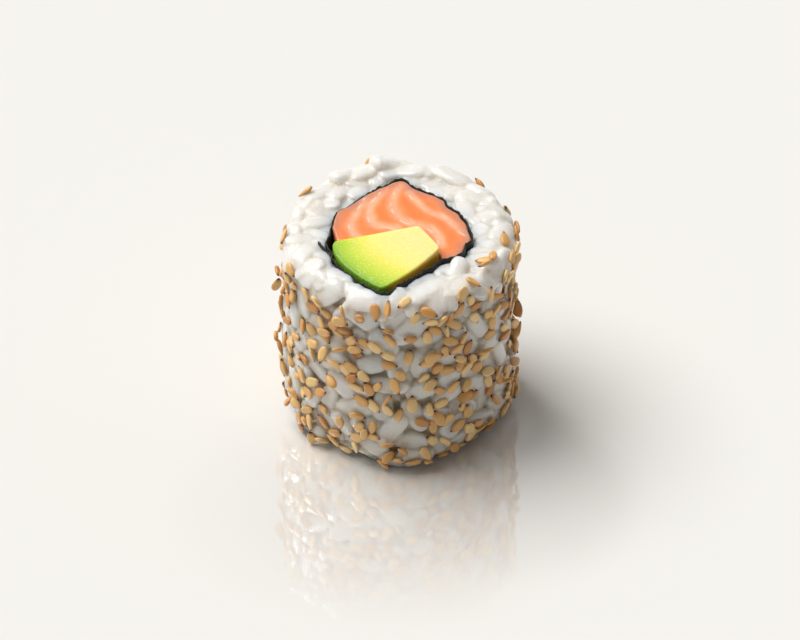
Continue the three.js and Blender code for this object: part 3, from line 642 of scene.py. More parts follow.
def ring_grains(generator):
    """Grains round the top cut: the largest at their places, then smaller ones between them."""

    def draw_place():
        azimuth = 360 * generator.random()
        low = RIM_START + 1.5
        return place_at(azimuth, low + (top_limit(azimuth, 1.0) - low) * generator.random())

    places = [place_at(azimuth, reach) for azimuth, reach, *_ in RING_CHUNKS]
    grains = scatter(RING_GRAINS, 10, draw_place, places)
    draw_shapes(grains, generator, RING_LENGTH, RING_WIDTH, RING_THICKNESS, RING_TILT, RING_PROUD)
    names = ("turn", "tilt", "length", "width", "thickness", "proud")
    for name, values in zip(names, np.array(RING_CHUNKS).T[2:]):
        grains[name][:len(values)] = np.radians(values) if name in ("turn", "tilt") else values
    return grains


def deep_grains(generator):
    """Grains that lie lower in the wall and show between the outer ones."""

    def draw_place():
        return place_at(360 * generator.random(), 1.0 + (RIM_START + 1) * generator.random())

    grains = scatter(DEEP_GRAINS, 6, draw_place, [])
    draw_shapes(grains, generator, GRAIN_LENGTH, GRAIN_WIDTH, GRAIN_THICKNESS, DEEP_TILT, DEEP_PROUD)
    return grains


def core_mesh():
    """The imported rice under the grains: one closed ring round the room for the nori."""
    sides = 240
    azimuth = np.arange(sides) * 360 / sides
    reaches = np.concatenate([np.linspace(0, RIM_START, 40), np.linspace(RIM_START, RIM_END, 8)[1:]])
    rows = []
    for reach in reaches:
        radius, height, out_r, out_z = profile(azimuth, np.full(sides, reach))
        inset = CORE_INSET + (CORE_INSET_TOP - CORE_INSET) * out_z ** 2
        rows.append(np.stack([radius - inset * out_r, height - np.minimum(inset, height) * out_z], 1))
    top_height = ROLL_HEIGHT - CORE_INSET_TOP
    inner_top = nori_room(azimuth, top_height, CLEARANCE / 2)
    edge_radius, edge_height = rows[-1][:, 0], rows[-1][:, 1]
    for part in (0.35, 0.7):
        rows.append(np.stack([edge_radius * (1 - part) + inner_top * part,
                              edge_height * (1 - part) + top_height * part], 1))
    for part in np.linspace(1, 0, 12):
        height = top_height * part
        radius = nori_room(azimuth, height, CLEARANCE / 2)
        rows.append(np.stack([radius, np.full(sides, max(height, 0.05))], 1))
    table = np.array(rows)
    angle = np.radians(azimuth)
    points = np.stack([table[..., 0] * np.cos(angle), table[..., 0] * np.sin(angle),
                       np.maximum(table[..., 1], 0.05)], -1)
    return points.reshape(-1, 3), [grid_faces(len(table), sides, True, True)[:, ::-1]]


def join_meshes(parts):
    points, faces, start = [], [], 0
    for part_points, part_faces in parts:
        points.append(part_points)
        faces.extend(part + start for part in part_faces)
        start += len(part_points)
    return np.vstack(points), faces


def fused_skin(points, faces):
    """One soft skin over overlapping closed shapes, as points and triangles."""
    lumps = make_object("lumps", points / MM, faces)
    skin = lumps.modifiers.new("skin", "REMESH")
    skin.mode = "VOXEL"
    skin.voxel_size = SKIN_VOXEL
    soften = lumps.modifiers.new("soften", "SMOOTH")
    soften.factor = SKIN_SOFTENING
    soften.iterations = 1
    thin = lumps.modifiers.new("thin", "DECIMATE")
    thin.use_collapse_triangulate = True
    thin.show_viewport = False
    bpy.context.view_layer.update()
    whole = lumps.evaluated_get(bpy.context.evaluated_depsgraph_get())
    triangles = sum(len(face.vertices) - 2 for face in whole.data.polygons)
    thin.ratio = min(1.0, SKIN_TRIANGLES / triangles)
    thin.show_viewport = True
    bpy.context.view_layer.update()
    made = lumps.evaluated_get(bpy.context.evaluated_depsgraph_get()).data
    made.calc_loop_triangles()
    skin_points = np.empty(len(made.vertices) * 3, np.float32)
    made.vertices.foreach_get("co", skin_points)
    corners = np.empty(len(made.loop_triangles) * 3, np.int32)
    made.loop_triangles.foreach_get("vertices", corners)
    mesh = lumps.data
    bpy.data.objects.remove(lumps)
    bpy.data.meshes.remove(mesh)
    return skin_points.reshape(-1, 3).astype(float), corners.reshape(-1, 3)


def grain_tones(points, grains, tones):
    """For each point, the tone of the grain that it lies on, and how near it is to another grain."""
    centre, along, across, out = piece_frames(grains)
    nearest = np.full((len(points), 2), 9.0)
    tone = np.full(len(points), 0.5)
    for k in range(len(tones)):
        step = points - centre[k]
        near = np.flatnonzero(np.abs(step).max(1) < 5.5)
        step = step[near]
        distance = ((step @ along[k]) / (0.5 * grains["length"][k])) ** 2
        distance += ((step @ across[k]) / (0.5 * grains["width"][k])) ** 2
        distance += ((step @ out[k]) / (0.5 * grains["thickness"][k])) ** 2
        first = distance < nearest[near, 0]
        nearest[near, 1] = np.where(first, nearest[near, 0], np.minimum(nearest[near, 1], distance))
        nearest[near, 0] = np.where(first, distance, nearest[near, 0])
        tone[near] = np.where(first, tones[k], tone[near])
    return tone, np.exp(-((nearest[:, 1] - nearest[:, 0]) / 0.45) ** 2)


def under_surface(points):
    """How far each point lies under the roll's nominal surface."""
    azimuth = azimuth_of(points)
    radius, height = np.hypot(points[:, 0], points[:, 1]), points[:, 2]
    inner = wall_radius(azimuth, RIM_START) - TOP_RIM_RADIUS
    rise = top_rise(azimuth)
    up = (height - RIM_START) * TOP_RIM_RADIUS / (TOP_RIM_RADIUS + rise)
    rim = TOP_RIM_RADIUS - np.hypot(np.maximum(radius - inner, 0), np.maximum(up, 0))
    top = ROLL_HEIGHT + rise * np.clip(1 - (inner - radius) / RISE_FADE, 0, 1) - height
    wall = wall_radius(azimuth, np.clip(height, 0, RIM_START)) - radius
    return np.where(height < RIM_START, wall, np.where(radius > inner, rim, top))


def rice_body(grains, generator):
    layers = [grains, deep_grains(generator), ring_grains(generator)]
    for layer in layers:
        count = len(layer["azimuth"])
        layer["roll"] = generator.uniform(-MORE_ROLL, MORE_ROLL, count)
        layer["tilt"] = layer["tilt"] + generator.uniform(-MORE_TILT, MORE_TILT, count)
    grains["proud"] = grains["proud"] + generator.uniform(*MORE_PROUD, len(grains["proud"]))
    for name, share in OUTER_SIZES.items():
        grains[name] = grains[name] * share
    meshes = [grain_mesh(layer, generator, flat) for layer, flat in zip(layers, FLATNESS)]
    points, faces = fused_skin(*join_meshes([core_mesh(), *meshes]))
    points[:, 2] = np.maximum(points[:, 2], 0.0)
    cut = np.clip((points[:, 2] - CUT_FROM) / CUT_FADE, 0, 1)
    points[:, 2] += CUT_LEVELLING * cut * np.clip(under_surface(points), -1.0, 1.6)
    every = {name: np.concatenate([layer[name] for layer in layers]) for name in grains}
    # The second value, how near another grain lies, drives the painted shade at the seams in the rice
    # material.
    tone, seam_shade = grain_tones(points, every, generator.uniform(0, 1, len(every["azimuth"])))
    radius = np.hypot(points[:, 0], points[:, 1])
    from_nori = radius - read_round(BENT_RADII, azimuth_of(points))
    # depth, from_nori and height are also masks for the rice material's painted shade in the hollows, by
    # the nori and low on the wall, and for its painted light on the top cut.
    attributes = {"tone": tone, "seam_shade": seam_shade, "from_nori": from_nori, "depth": under_surface(points),
                  "height": points[:, 2]}
    return make_object("rice_body", points, [faces], attributes), points, faces


# ---- Sesame ----

def rest_on(seeds, points, faces, generator):
    """Lets every seed down onto the rice, and onto the seeds that lie there already."""
    tree = BVHTree.FromPolygons(points.tolist(), faces.tolist())
    count = len(seeds["azimuth"])
    seeds["tilt"], seeds["roll"], seeds["proud"] = np.zeros(count), np.zeros(count), np.zeros(count)
    centre, along, across, normal = piece_frames({**seeds, "thickness": np.zeros(count)})
    laid = []
    spots = np.array([(a, b) for a in (-0.8, -0.4, 0.0, 0.4, 0.8) for b in (-0.7, 0.0, 0.7)
                      if a * a + b * b < 1.05])
    for i in range(count):
        half = np.array([0.5 * seeds["length"][i], 0.5 * seeds["width"][i]])
        offsets = spots * half
        starts = centre[i] + offsets[:, :1] * along[i] + offsets[:, 1:] * across[i] + 5 * normal[i]
        heights = np.full(len(spots), -2.0)
        for k, start in enumerate(starts):
            hit = tree.ray_cast(Vector(start), Vector(-normal[i]), 8.0)
            if hit[3] is not None:
                heights[k] = 5 - hit[3]
        for other_centre, frame_rows in laid:
            if np.abs(other_centre - centre[i]).max() > 4.5:
                continue
            origin = (starts - other_centre) @ frame_rows.T
            toward = -normal[i] @ frame_rows.T
            a = toward @ toward
            b = origin @ toward
            c = (origin ** 2).sum(1) - 1
            inside = b * b - a * c
            reach = np.where(inside > 0, 5 - (-b - np.sqrt(np.maximum(inside, 0))) / a, -2.0)
            heights = np.maximum(heights, reach)
        heights = np.maximum(heights, heights.max() - 0.9)
        plane_terms = np.column_stack([offsets, np.ones(len(spots))])
        weights = np.linalg.lstsq(plane_terms, heights, rcond=None)[0]
        share = 1 if generator.random() < EDGE_SEEDS else FLAT_LEAN
        lean = share * generator.uniform(-1, 1, 2) * SEED_LEAN
        tilt = math.atan(np.clip(weights[0], -0.8, 0.8)) + lean[0]
        roll = math.atan(np.clip(weights[1], -0.8, 0.8)) + lean[1]
        under = 0.5 * seeds["thickness"][i] * np.sqrt(np.maximum(0, 1 - (spots ** 2).sum(1) * 0.85))
        plane = offsets @ np.tan([tilt, roll])
        lift = (heights - plane - (0.5 * seeds["thickness"][i] - under)).max()
        seeds["tilt"][i], seeds["roll"][i] = tilt, roll
        seeds["proud"][i] = lift + seeds["thickness"][i] - SEED_SINK - LEAN_SINK * np.abs(lean).max()
        one = {key: values[i:i + 1] for key, values in seeds.items()}
        own_centre, own_along, own_across, own_out = (row[0] for row in piece_frames(one))
        frame_rows = np.array([own_along / half[0], own_across / half[1],
                               own_out / (0.5 * seeds["thickness"][i])])
        laid.append((own_centre, frame_rows))


def seed_shapes(name, seeds, generator):
    """All sesame seeds as one mesh: flat drops with a dark pointed end."""
    unit, quads, caps = oval_template(SEED_RINGS, SEED_SIDES, 2.0, 2.0)
    count = len(seeds["azimuth"])
    s = np.clip(0.5 * (1 + unit[:, 0]), 1e-4, 1 - 1e-4)
    drop = 2.42 * s ** 0.52 * (1 - s) ** 0.86 + 0.16 * s ** 4 * np.sqrt(1 - s)
    drop = drop / np.maximum(np.sqrt(4 * s * (1 - s)), 1e-4)
    x = np.broadcast_to(unit[:, 0], (count, len(unit)))
    amount = generator.uniform(-1, 1, (count, 6))[:, :, None]
    y = unit[:, 1] * drop * (1 + 0.07 * amount[:, 0])
    z = unit[:, 2] * drop * (1 + 0.14 * amount[:, 1])
    z = np.sign(z) * np.minimum(np.abs(z), 0.72 + 0.12 * amount[:, 5])
    rim = np.exp(-((np.abs(unit[:, 1]) - 0.74) / 0.10) ** 2)
    ridge = np.exp(-(unit[:, 1] / 0.14) ** 2) * np.maximum(amount[:, 4], 0)
    z = z * (1 + 0.14 * rim + 0.16 * ridge)
    y = y + 0.14 * amount[:, 2] * (x * x - 0.3)
    z = z + 0.16 * amount[:, 3] * (x * x - 0.3)
    points = in_place(seeds, x, y, z)
    points[..., 2] = np.maximum(points[..., 2], FLOOR_GAP)
    tone = np.repeat(generator.uniform(0, 1, count), len(unit))
    bite = np.repeat(generator.uniform(0, 1, count), len(unit))
    along_value = np.broadcast_to(s, (count, len(unit))).ravel()
    side_value = np.broadcast_to(unit[:, 1], (count, len(unit))).ravel()
    faces = [repeated(part, count, len(unit)) for part in (quads, caps)]
    attributes = {"tone": tone, "bite": bite, "lengthways": along_value, "sideways": side_value}
    return make_object(name, points.reshape(-1, 3), faces, attributes)


# ---- Nori, salmon and avocado ----

def waves(place, generator, counts, power):
    """A sum of sines with random phases along a closed or open path, place from 0 to 1."""
    total = np.zeros_like(place)
    for k in counts:
        total += np.sin(2 * math.pi * (k * place + generator.random())) * k ** -power
    return total


def nori_strip(path, closed, generator):
    """A thin sheet along a path, with a torn upper edge and a faint crinkle."""
    count = len(path)
    place = np.arange(count) / count
    rise = path[:, 2] + 0.09 * waves(place, generator, range(9, 90, 4), 0.15) / 1.8
    rise = rise + generator.uniform(-0.07, 0.07, count)
    levels = [*np.linspace(FILLING_LIFT, ROLL_HEIGHT - 3, 14),
              *(ROLL_HEIGHT - below for below in (2.0, 1.2, 0.6))]
    crinkle = 0.08 * waves(place, generator, range(5, 60, 3), 0.3) / 2.2
    rows = []
    for offset in (1, -1):
        heights = [np.full(count, level) for level in levels]
        heights += [ROLL_HEIGHT + rise * 0.6, ROLL_HEIGHT + rise]
        column = []
        outward = beside(path, 1.0, closed)[:, :2] - path[:, :2]
        for k, height in enumerate(heights):
            thin = 1 - 0.45 * np.clip(1 + (height - ROLL_HEIGHT - rise) / 2, 0, 1)
            part = crinkle * (0.35 + 0.65 * k / len(heights)) + offset * thin * NORI_THICKNESS / 2
            flat = (path[:, :2] + outward * part[:, None]) * narrowing(height)[:, None]
            column.append(np.column_stack([flat, height]))
        rows.extend(column if offset > 0 else column[::-1])
    table = np.array(rows).transpose(1, 0, 2)
    section = table.shape[1]
    faces = [grid_faces(count, section, closed, True)]
    if not closed:
        half = section // 2
        k = np.arange(half - 1)
        lid = np.stack([k, k + 1, section - 2 - k, section - 1 - k], 1)
        faces += [lid[:, ::-1], lid + (count - 1) * section]
    return table.reshape(-1, 3), faces


def nori_sheet(generator):
    loop = nori_strip(scalloped_loop(640), True, generator)
    tail = nori_strip(smooth_path(NORI_TAIL, 40, False), False, generator)
    points, faces = join_meshes([loop, tail])
    return make_object("nori_sheet", points, faces, {"height": points[:, 2] - ROLL_HEIGHT})


def skin_curve(start, first, second, end, steps):
    t = np.linspace(0, 1, steps)[:, None]
    return ((1 - t) ** 3 * start + 3 * t * (1 - t) ** 2 * first
            + 3 * t * t * (1 - t) * second + t ** 3 * end)


def avocado_outline(offset, count):
    """Outline of the avocado, evenly spaced, moved outwards by an offset."""
    tip, right, back, left = AVOCADO_TIP, AVOCADO_RIGHT, AVOCADO_BACK, AVOCADO_LEFT
    skin_left, skin_tip = AVOCADO_SKIN
    bulge = AVOCADO_BULGE

    def toward(start, end):
        step = end - start
        return start + step * AVOCADO_ROUNDING / np.linalg.norm(step)

    def bend(start, control, end, steps):
        t = np.linspace(0, 1, steps)[:, None]
        return (1 - t) ** 2 * start + 2 * t * (1 - t) * control + t * t * end

    path = np.vstack([
        bend(toward(tip, bulge), bulge, toward(right, bulge), 40),
        bend(toward(right, bulge), right, toward(right, back), 12)[1:],
        bend(toward(back, right), back, toward(back, left), 12),
        bend(toward(left, back), left, toward(left, skin_left), 12),
        skin_curve(toward(left, skin_left), skin_left, skin_tip, toward(tip, skin_tip), 60)[1:],
        bend(toward(tip, skin_tip), tip, toward(tip, bulge), 12)[1:-1],
    ])
    closed = np.vstack([path, path[:1]])
    length = np.concatenate([[0], np.cumsum(np.linalg.norm(np.diff(closed, axis=0), axis=1))])
    even = np.linspace(0, length[-1], count, endpoint=False)
    outline = np.column_stack([np.interp(even, length, closed[:, k]) for k in (0, 1)])
    return beside(outline, offset, True)


def distance_to(points, path):
    """Shortest distance from each point to a path of straight pieces."""
    best = np.full(len(points), np.inf)
    for a, b in zip(path[:-1], path[1:]):
        step = b - a
        t = np.clip(((points - a) @ step) / max(step @ step, 1e-9), 0, 1)
        best = np.minimum(best, np.linalg.norm(points - (a + t[:, None] * step), axis=1))
    return best


def filling_block(outline, kernel, top, edge, rings, relief_at):
    """A block with a tilted, softly rounded top, narrowing to the floor, as points and faces."""
    count = len(outline)
    reach = np.linalg.norm(outline - kernel, axis=1)
    parts = 1 - (1 - np.linspace(0, 1, rings + 1)[1:]) ** 1.25
    rows, depths = [], []
    for part in parts:
        flat = kernel + (outline - kernel) * part
        inset = reach * (1 - part)
        low = np.clip(1 - inset / edge, 0, 1)
        height = ROLL_HEIGHT + top[0] + top[1] * flat[:, 0] + top[2] * flat[:, 1] + relief_at(flat)
        height = height - edge * (1 - np.sqrt(1 - low ** 2 * 0.999))
        rows.append(np.column_stack([flat, height]))
        depths.append(inset)
    lowest = rows[-1][:, 2]
    for part in (0.03, 0.1, 0.3, 0.6, 1.0):
        height = lowest + (FILLING_LIFT - lowest) * part
        rows.append(np.column_stack([outline * narrowing(height)[:, None], height]))
        depths.append(np.zeros(count))
    points = np.vstack([np.vstack(rows), [[*kernel, 0], [*(kernel * TAPER), FILLING_LIFT]]])
    middle = points[:1, :2] * 0 + kernel
    points[-2, 2] = ROLL_HEIGHT + top[0] + top[1] * kernel[0] + top[2] * kernel[1] + relief_at(middle)[0]
    j = np.arange(count)
    first, last = len(points) - 2, len(points) - 1
    base = (len(rows) - 1) * count
    lid = np.stack([np.full(count, first), j, (j + 1) % count], 1)
    floor = np.stack([np.full(count, last), base + (j + 1) % count, base + j], 1)
    faces = [grid_faces(len(rows), count, False, True)[:, ::-1], np.vstack([lid, floor])]
    return points, faces, np.concatenate([np.concatenate(depths), [9.0, 0.0]])


def avocado_wedge():
    outline = avocado_outline(0, 260)
    kernel = outline.mean(0)
    points, faces, _ = filling_block(outline, kernel, AVOCADO_TOP, 0.3, 34,
                                     lambda flat: np.zeros(len(flat)))
    skin = skin_curve(AVOCADO_LEFT, *AVOCADO_SKIN, AVOCADO_TIP, 30)
    flat = points[:, :2] / narrowing(points[:, 2])[:, None]
    depth = distance_to(flat, skin)
    top_plane = ROLL_HEIGHT + AVOCADO_TOP[0] + flat @ np.array(AVOCADO_TOP[1:])
    return make_object("avocado_wedge", points, faces,
                       {"depth": depth, "below": top_plane - points[:, 2]})


def ray_outline(kernel, segments, count):
    """Where rays from a kernel first meet any of the segments."""
    angle = np.arange(count) * 2 * math.pi / count
    ray = np.column_stack([np.cos(angle), np.sin(angle)])
    best = np.full(count, np.inf)
    for a, b in segments:
        edge = b - a
        start = a - kernel
        cross = ray[:, 0] * edge[1] - ray[:, 1] * edge[0]
        cross = np.where(np.abs(cross) < 1e-9, 1e-9, cross)
        reach = (start[0] * edge[1] - start[1] * edge[0]) / cross
        place = (start[0] * ray[:, 1] - start[1] * ray[:, 0]) / cross
        hit = (reach > 0) & (place >= 0) & (place <= 1)
        best = np.where(hit, np.minimum(best, reach), best)
    return kernel + ray * best[:, None]


def salmon_block():
    kernel = np.array(SALMON_KERNEL)
    inner = beside(scalloped_loop(300), -(NORI_THICKNESS / 2 + 0.02), True)[:, :2]
    wedge = avocado_outline(0.15, 160)
    segments = [*zip(inner, np.roll(inner, -1, 0)), *zip(wedge, np.roll(wedge, -1, 0))]
    front = np.array(SALMON_FRONT)
    segments += list(zip(front[:-1], front[1:]))
    outline = ray_outline(kernel, segments, 420)

    bands = [(width, smooth_path([(*point, 0) for point in path], 40, False)[:, :2])
             for width, path in FAT_BANDS]

    def band_amount(flat):
        total = np.zeros(len(flat))
        for width, path in bands:
            away = distance_to(flat, path)
            total = np.maximum(total, np.exp(-(away / width) ** 2))
        return total

    def relief_at(flat):
        return -0.16 * band_amount(flat) + 0.05 * np.sin(1.9 * flat[:, 0] + 0.9 * flat[:, 1])

    def glints_at(flat):
        """Thin painted highlights in the middle of the fat bands, broken here and there."""
        total = np.zeros(len(flat))
        for k, (_, path) in enumerate(bands):
            away = distance_to(flat + 0.25, path)
            broken = np.sin(2.3 * flat[:, 1] + 1.7 * k) + np.sin(1.1 * flat[:, 1] - 0.9 * flat[:, 0])
            total = np.maximum(total, np.exp(-(away / 0.16) ** 2) * np.clip(broken, 0, 1))
        return total

    points, faces, depth = filling_block(outline, kernel, SALMON_TOP, 0.45, 70, relief_at)
    flat = points[:, :2] / narrowing(points[:, 2])[:, None]
    rim = distance_to(flat, np.vstack([inner, inner[:1]]))
    attributes = {"fat": band_amount(flat), "rim": rim, "glint": glints_at(flat)}
    return make_object("salmon_block", points, faces, attributes)


# ---- Materials ----

RANGE_INPUTS = ("From Min", "From Max", "To Min", "To Max")


class Nodes:
    """Short names for making a node material."""

    def __init__(self, name):
        self.material = bpy.data.materials.new(name)
        self.material.use_nodes = True
        self.tree = self.material.node_tree
        self.shader = self.tree.nodes["Principled BSDF"]

    def add(self, kind, **settings):
        node = self.tree.nodes.new(kind)
        for key, value in settings.items():
            setattr(node, key, value)
        return node

    def link(self, source, target):
        self.tree.links.new(source, target)

    def fill(self, node, numbers, values):
        """Sets or links a node's inputs."""
        for number, value in zip(numbers, values):
            socket = node.inputs[number]
            if isinstance(value, (int, float)):
                socket.default_value = value
            elif isinstance(value, tuple):
                socket.default_value = (*value, 1)
            else:
                self.link(value, socket)

    def attribute(self, name):
        return self.add("ShaderNodeAttribute", attribute_name=name).outputs["Fac"]

    def place(self):
        return self.add("ShaderNodeTexCoord").outputs["Object"]

    def noise(self, scale, detail=3.0, roughness=0.55):
        node = self.add("ShaderNodeTexNoise")
        self.fill(node, ("Vector", "Scale", "Detail", "Roughness"),
                  (self.place(), scale, detail, roughness))
        return node.outputs["Fac"]

    def ramp(self, value, stops):
        node = self.add("ShaderNodeValToRGB")
        self.link(value, node.inputs["Fac"])
        elements = node.color_ramp.elements
        while len(elements) < len(stops):
            elements.new(0.5)
        for element, (place, color) in zip(elements, stops):
            element.position = place
            element.color = (*color, 1)
        return node.outputs["Color"]

    def mix(self, factor, first, second, blend="MIX"):
        node = self.add("ShaderNodeMix", data_type="RGBA", blend_type=blend)
        self.fill(node, (0, 6, 7), (factor, first, second))
        return node.outputs[2]

    def math(self, operation, first, second=0.0, third=0.0):
        node = self.add("ShaderNodeMath", operation=operation)
        self.fill(node, (0, 1, 2), (first, second, third))
        return node.outputs[0]

    def map_range(self, value, low, high, first, last):
        node = self.add("ShaderNodeMapRange")
        self.fill(node, ("Value", *RANGE_INPUTS), (value, low, high, first, last))
        return node.outputs["Result"]

    def bump(self, height, strength, distance):
        node = self.add("ShaderNodeBump")
        self.fill(node, ("Strength", "Distance", "Height"), (strength, distance, height))
        self.link(node.outputs["Normal"], self.shader.inputs["Normal"])

    def paint(self, color, **values):
        """Links the colour, and sets the shader's other inputs."""
        self.link(color, self.shader.inputs["Base Color"])
        names = {"roughness": "Roughness", "specular": "Specular IOR Level", "coat": "Coat Weight",
                 "coat_roughness": "Coat Roughness", "subsurface": "Subsurface Weight",
                 "radius": "Subsurface Radius", "scale": "Subsurface Scale", "ior": "IOR",
                 "transmission": "Transmission Weight"}
        for key, value in values.items():
            self.shader.inputs[names[key]].default_value = value


def rice_material():
    m = Nodes("cooked_rice")
    tone = m.attribute("tone")
    base = m.ramp(tone, [
        (0.0, (0.78, 0.76, 0.705)), (0.5, (0.88, 0.86, 0.81)), (1.0, (0.95, 0.935, 0.90))])
    color = m.mix(m.math("MULTIPLY", m.noise(260, 2.0), 0.3), base, (0.93, 0.915, 0.88))
    # upper fades the painted shade of the hollows and seams on the top cut.
    upper = m.map_range(m.attribute("height"), 34.0, 40.0, 1.0, 0.3)
    # Painted light: the rice is painted paler and more even towards the top cut, where the light falls.
    color = m.mix(m.map_range(m.attribute("height"), 35.0, 40.0, 0.0, 0.5), color, (0.90, 0.872, 0.83))
    # Painted shade: bluish grey on the rice near the nori, where thin translucent grains lie over the
    # dark sheet.
    near = m.map_range(m.attribute("from_nori"), 0.2, 2.8, 0.8, 0.0)
    color = m.mix(near, color, (0.64, 0.71, 0.75))
    # Painted shade: warm dark in the hollows between the outer grains.
    crease_shade = m.map_range(m.attribute("depth"), 0.7, 1.9, 0.0, 0.8)
    color = m.mix(m.math("MULTIPLY", crease_shade, upper), color, (0.50, 0.41, 0.25))
    # Painted shade: the wall is painted darker towards the bottom.
    low = m.map_range(m.attribute("height"), 2.0, 26.0, 0.3, 0.0)
    color = m.mix(low, color, (0.58, 0.50, 0.36))
    # Painted shade: thin dark lines where two grains meet, weaker on the top cut.
    seam_shade = m.math("MULTIPLY", m.attribute("seam_shade"), 0.5)
    color = m.mix(m.math("MULTIPLY", seam_shade, upper), color, (0.58, 0.49, 0.35))
    m.paint(color, roughness=0.26, specular=0.5, coat=0.45, coat_roughness=0.07, transmission=0.16,
            subsurface=1.0, radius=(1.0, 0.9, 0.78), scale=0.0034)
    m.bump(m.noise(620, 6.0, 0.68), 0.85, 0.00036)
    return m.material


def sesame_material():
    m = Nodes("toasted_sesame")
    tone = m.attribute("tone")
    base = m.ramp(tone, [(0.0, (0.56, 0.25, 0.065)), (0.2, (0.69, 0.375, 0.115)),
                         (0.6, (0.79, 0.50, 0.19)), (1.0, (0.90, 0.68, 0.33))])
    shade = m.mix(m.math("MULTIPLY", m.noise(1400, 4.0), 0.35), base, (0.72, 0.52, 0.28), "MULTIPLY")
    side = m.math("ABSOLUTE", m.attribute("sideways"))
    shade = m.mix(m.map_range(side, 0.74, 1.0, 0.0, 0.6), shade, (0.50, 0.22, 0.055))
    past_tip = m.math("MULTIPLY_ADD", m.attribute("bite"), 0.05, m.attribute("lengthways"))
    shade = m.mix(m.map_range(past_tip, 0.76, 0.92, 0.0, 0.75), shade, (0.42, 0.15, 0.04))
    color = m.mix(m.map_range(past_tip, 0.915, 0.955, 0.0, 1.0), shade, (0.045, 0.014, 0.008))
    m.paint(color, roughness=0.36, specular=0.5, coat=0.15, coat_roughness=0.2,
            subsurface=0.2, radius=(1.0, 0.6, 0.3), scale=0.0006)
    m.bump(m.noise(2600, 3.0), 0.30, 0.00008)
    return m.material


def nori_material():
    m = Nodes("nori")
    fleck = m.noise(1500, 5.0, 0.7)
    color = m.ramp(fleck, [
        (0.35, (0.006, 0.007, 0.005)), (0.58, (0.022, 0.027, 0.018)), (0.75, (0.10, 0.11, 0.07))])
    m.paint(color, roughness=0.45, specular=0.4)
    m.bump(m.noise(1800, 4.0), 0.6, 0.00015)
    return m.material


def salmon_material():
    m = Nodes("raw_salmon")
    wobble = m.math("MULTIPLY_ADD", m.noise(420, 3.0), 0.5, -0.25)
    fat = m.math("ADD", m.attribute("fat"), wobble)
    color = m.ramp(fat, [
        (0.05, (0.90, 0.235, 0.055)), (0.45, (0.90, 0.33, 0.14)), (1.0, (0.90, 0.44, 0.27))])
    # Darker brown at the edges by the nori: partly the darker meat there, partly painted shade from the
    # nori.
    ragged = m.math("ADD", m.attribute("rim"), m.math("MULTIPLY", wobble, 2.0))
    rim = m.map_range(ragged, 0.1, 2.4, 0.85, 0.0)
    color = m.mix(rim, color, (0.46, 0.24, 0.17))
    color = m.mix(m.map_range(m.noise(1100, 4.0), 0.45, 0.7, 0.0, 0.28), color, (0.80, 0.22, 0.07))
    # Painted highlight: whitish glints along the fat bands.
    color = m.mix(m.math("MULTIPLY", m.attribute("glint"), 0.6), color, (1.0, 0.80, 0.66))
    m.paint(color, roughness=0.30, specular=0.5, coat=0.28, coat_roughness=0.10,
            subsurface=0.55, radius=(1.0, 0.40, 0.22), scale=0.0012)
    m.bump(m.noise(600, 4.0), 0.45, 0.00025)
    return m.material


def avocado_material():
    m = Nodes("avocado_flesh")
    depth = m.math("MULTIPLY_ADD", m.noise(300, 2.0), 0.8, m.math("SUBTRACT", m.attribute("depth"), 0.4))
    color = m.ramp(m.math("MULTIPLY", depth, 0.08), [
        (0.0, (0.13, 0.32, 0.005)), (0.06, (0.31, 0.51, 0.010)), (0.20, (0.48, 0.62, 0.022)),
        (0.42, (0.72, 0.70, 0.08)), (0.62, (0.87, 0.74, 0.20)), (1.0, (0.89, 0.71, 0.26))])
    speckle = m.map_range(m.noise(3000, 2.0), 0.54, 0.68, 0.0, 0.28)
    color = m.mix(speckle, color, (0.97, 0.95, 0.60))
    side = m.map_range(m.attribute("below"), 0.2, 0.7, 0.0, 0.9)
    side = m.math("MULTIPLY", side, m.map_range(m.attribute("depth"), 1.0, 3.0, 0.0, 1.0))
    color = m.mix(side, color, (0.98, 0.66, 0.05))
    m.paint(color, roughness=0.42, specular=0.4, coat=0.08, coat_roughness=0.2,
            subsurface=0.6, radius=(1.0, 0.9, 0.35), scale=0.0018)
    m.bump(m.noise(1500, 4.0), 0.35, 0.00015)
    return m.material


def floor_material():
    """A pale table, glossy only in a soft spot in front of the roll, where the photo shows it."""
    m = Nodes("pale_table")
    split = m.add("ShaderNodeSeparateXYZ")
    m.link(m.place(), split.inputs[0])
    wide, deep = (half * MM for half in GLOSS_HALF)
    across = m.math("MULTIPLY", split.outputs["X"], 1 / wide)
    along = m.math("MULTIPLY_ADD", split.outputs["Y"], 1 / deep, GLOSS_MIDDLE * MM / deep)
    squared = m.math("ADD", m.math("MULTIPLY", across, across), m.math("MULTIPLY", along, along))
    near = m.map_range(m.math("SQRT", squared), 0.3, 1.0, 1.0, 0.0)
    near = m.math("MULTIPLY", m.math("MULTIPLY", near, near), m.math("MULTIPLY_ADD", near, -2.0, 3.0))
    m.link(m.math("MULTIPLY", near, 0.5), m.shader.inputs["Specular IOR Level"])
    m.paint(m.mix(near, (0.705, 0.70, 0.68), (0.80, 0.787, 0.762)), roughness=0.045, ior=4.0)
    return m.material


# ---- Camera, light and floor ----

def add_camera():
    data = bpy.data.cameras.new("camera")
    camera = bpy.data.objects.new("camera", data)
    bpy.context.collection.objects.link(camera)
    angle = math.radians(CAMERA_ELEVATION)
    back = Vector((0, -math.cos(angle), math.sin(angle)))
    camera.location = (Vector((0, 0, CAMERA_AIM)) + back * CAMERA_DISTANCE) * MM
    camera.rotation_euler = (-back).to_track_quat("-Z", "Y").to_euler()
    data.lens = CAMERA_LENS
    data.sensor_width = CAMERA_SENSOR
    data.clip_start = 0.01
    data.clip_end = 10.0
    bpy.context.scene.camera = camera


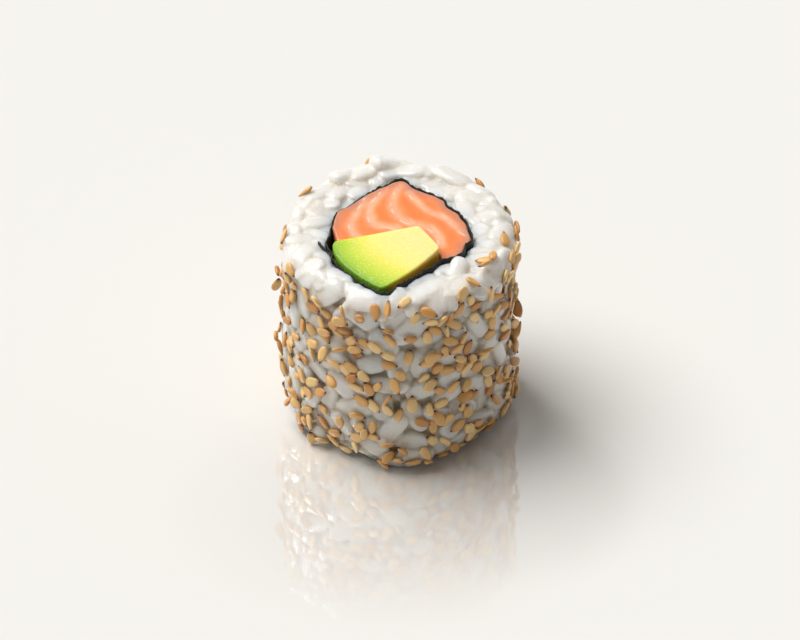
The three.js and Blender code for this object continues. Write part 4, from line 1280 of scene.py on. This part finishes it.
def add_sun(name, azimuth, elevation, strength, size, color):
    data = bpy.data.lights.new(name, "SUN")
    data.energy = strength
    data.angle = math.radians(size)
    data.color = color
    light = bpy.data.objects.new(name, data)
    bpy.context.collection.objects.link(light)
    a, e = math.radians(azimuth), math.radians(elevation)
    toward = Vector((math.cos(a) * math.cos(e), math.sin(a) * math.cos(e), math.sin(e)))
    light.rotation_euler = toward.to_track_quat("Z", "Y").to_euler()


def add_light():
    """The suns, and a studio that is brightest behind the food."""
    world = bpy.data.worlds.new("studio")
    bpy.context.scene.world = world
    world.use_nodes = True
    tree = world.node_tree
    direction = tree.nodes.new("ShaderNodeTexCoord").outputs["Generated"]
    split = tree.nodes.new("ShaderNodeSeparateXYZ")
    tree.links.new(direction, split.inputs["Vector"])
    glow = tree.nodes.new("ShaderNodeMapRange")
    for key, number in zip(RANGE_INPUTS, (*STUDIO_FADE, STUDIO_FRONT, STUDIO_BACK)):
        glow.inputs[key].default_value = number
    tree.links.new(split.outputs["Y"], glow.inputs["Value"])
    background = tree.nodes["Background"]
    background.inputs["Color"].default_value = (*STUDIO_COLOR, 1)
    tree.links.new(glow.outputs["Result"], background.inputs["Strength"])
    for sun in SUNS:
        add_sun(*sun)


def add_floor():
    points = [(x * FLOOR_HALF, y * FLOOR_HALF, 0) for x, y in ((-1, -1), (1, -1), (1, 1), (-1, 1))]
    floor = make_object("floor", points, [[(0, 1, 2, 3)]], smooth=False)
    floor.data.materials.append(floor_material())


# ---- The making ----

def dress(piece, material, node):
    piece.data.materials.append(material)
    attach(piece, "root")
    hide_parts(node)


add_camera()
add_light()
add_floor()

generator = np.random.default_rng(VISUAL_DRAWS)
grains = rice_grains()
seeds = sesame_seeds()
body, body_points, body_faces = rice_body(grains, generator)
rest_on(seeds, body_points, body_faces, generator)

dress(body, rice_material(), "rice")
dress(seed_shapes("sesame_seeds", seeds, generator), sesame_material(), "rice")
dress(nori_sheet(generator), nori_material(), "nori")
dress(salmon_block(), salmon_material(), "salmon")
dress(avocado_wedge(), avocado_material(), "avocado")

bpy.context.scene.view_settings.view_transform = "Standard"
bpy.context.view_layer.update()
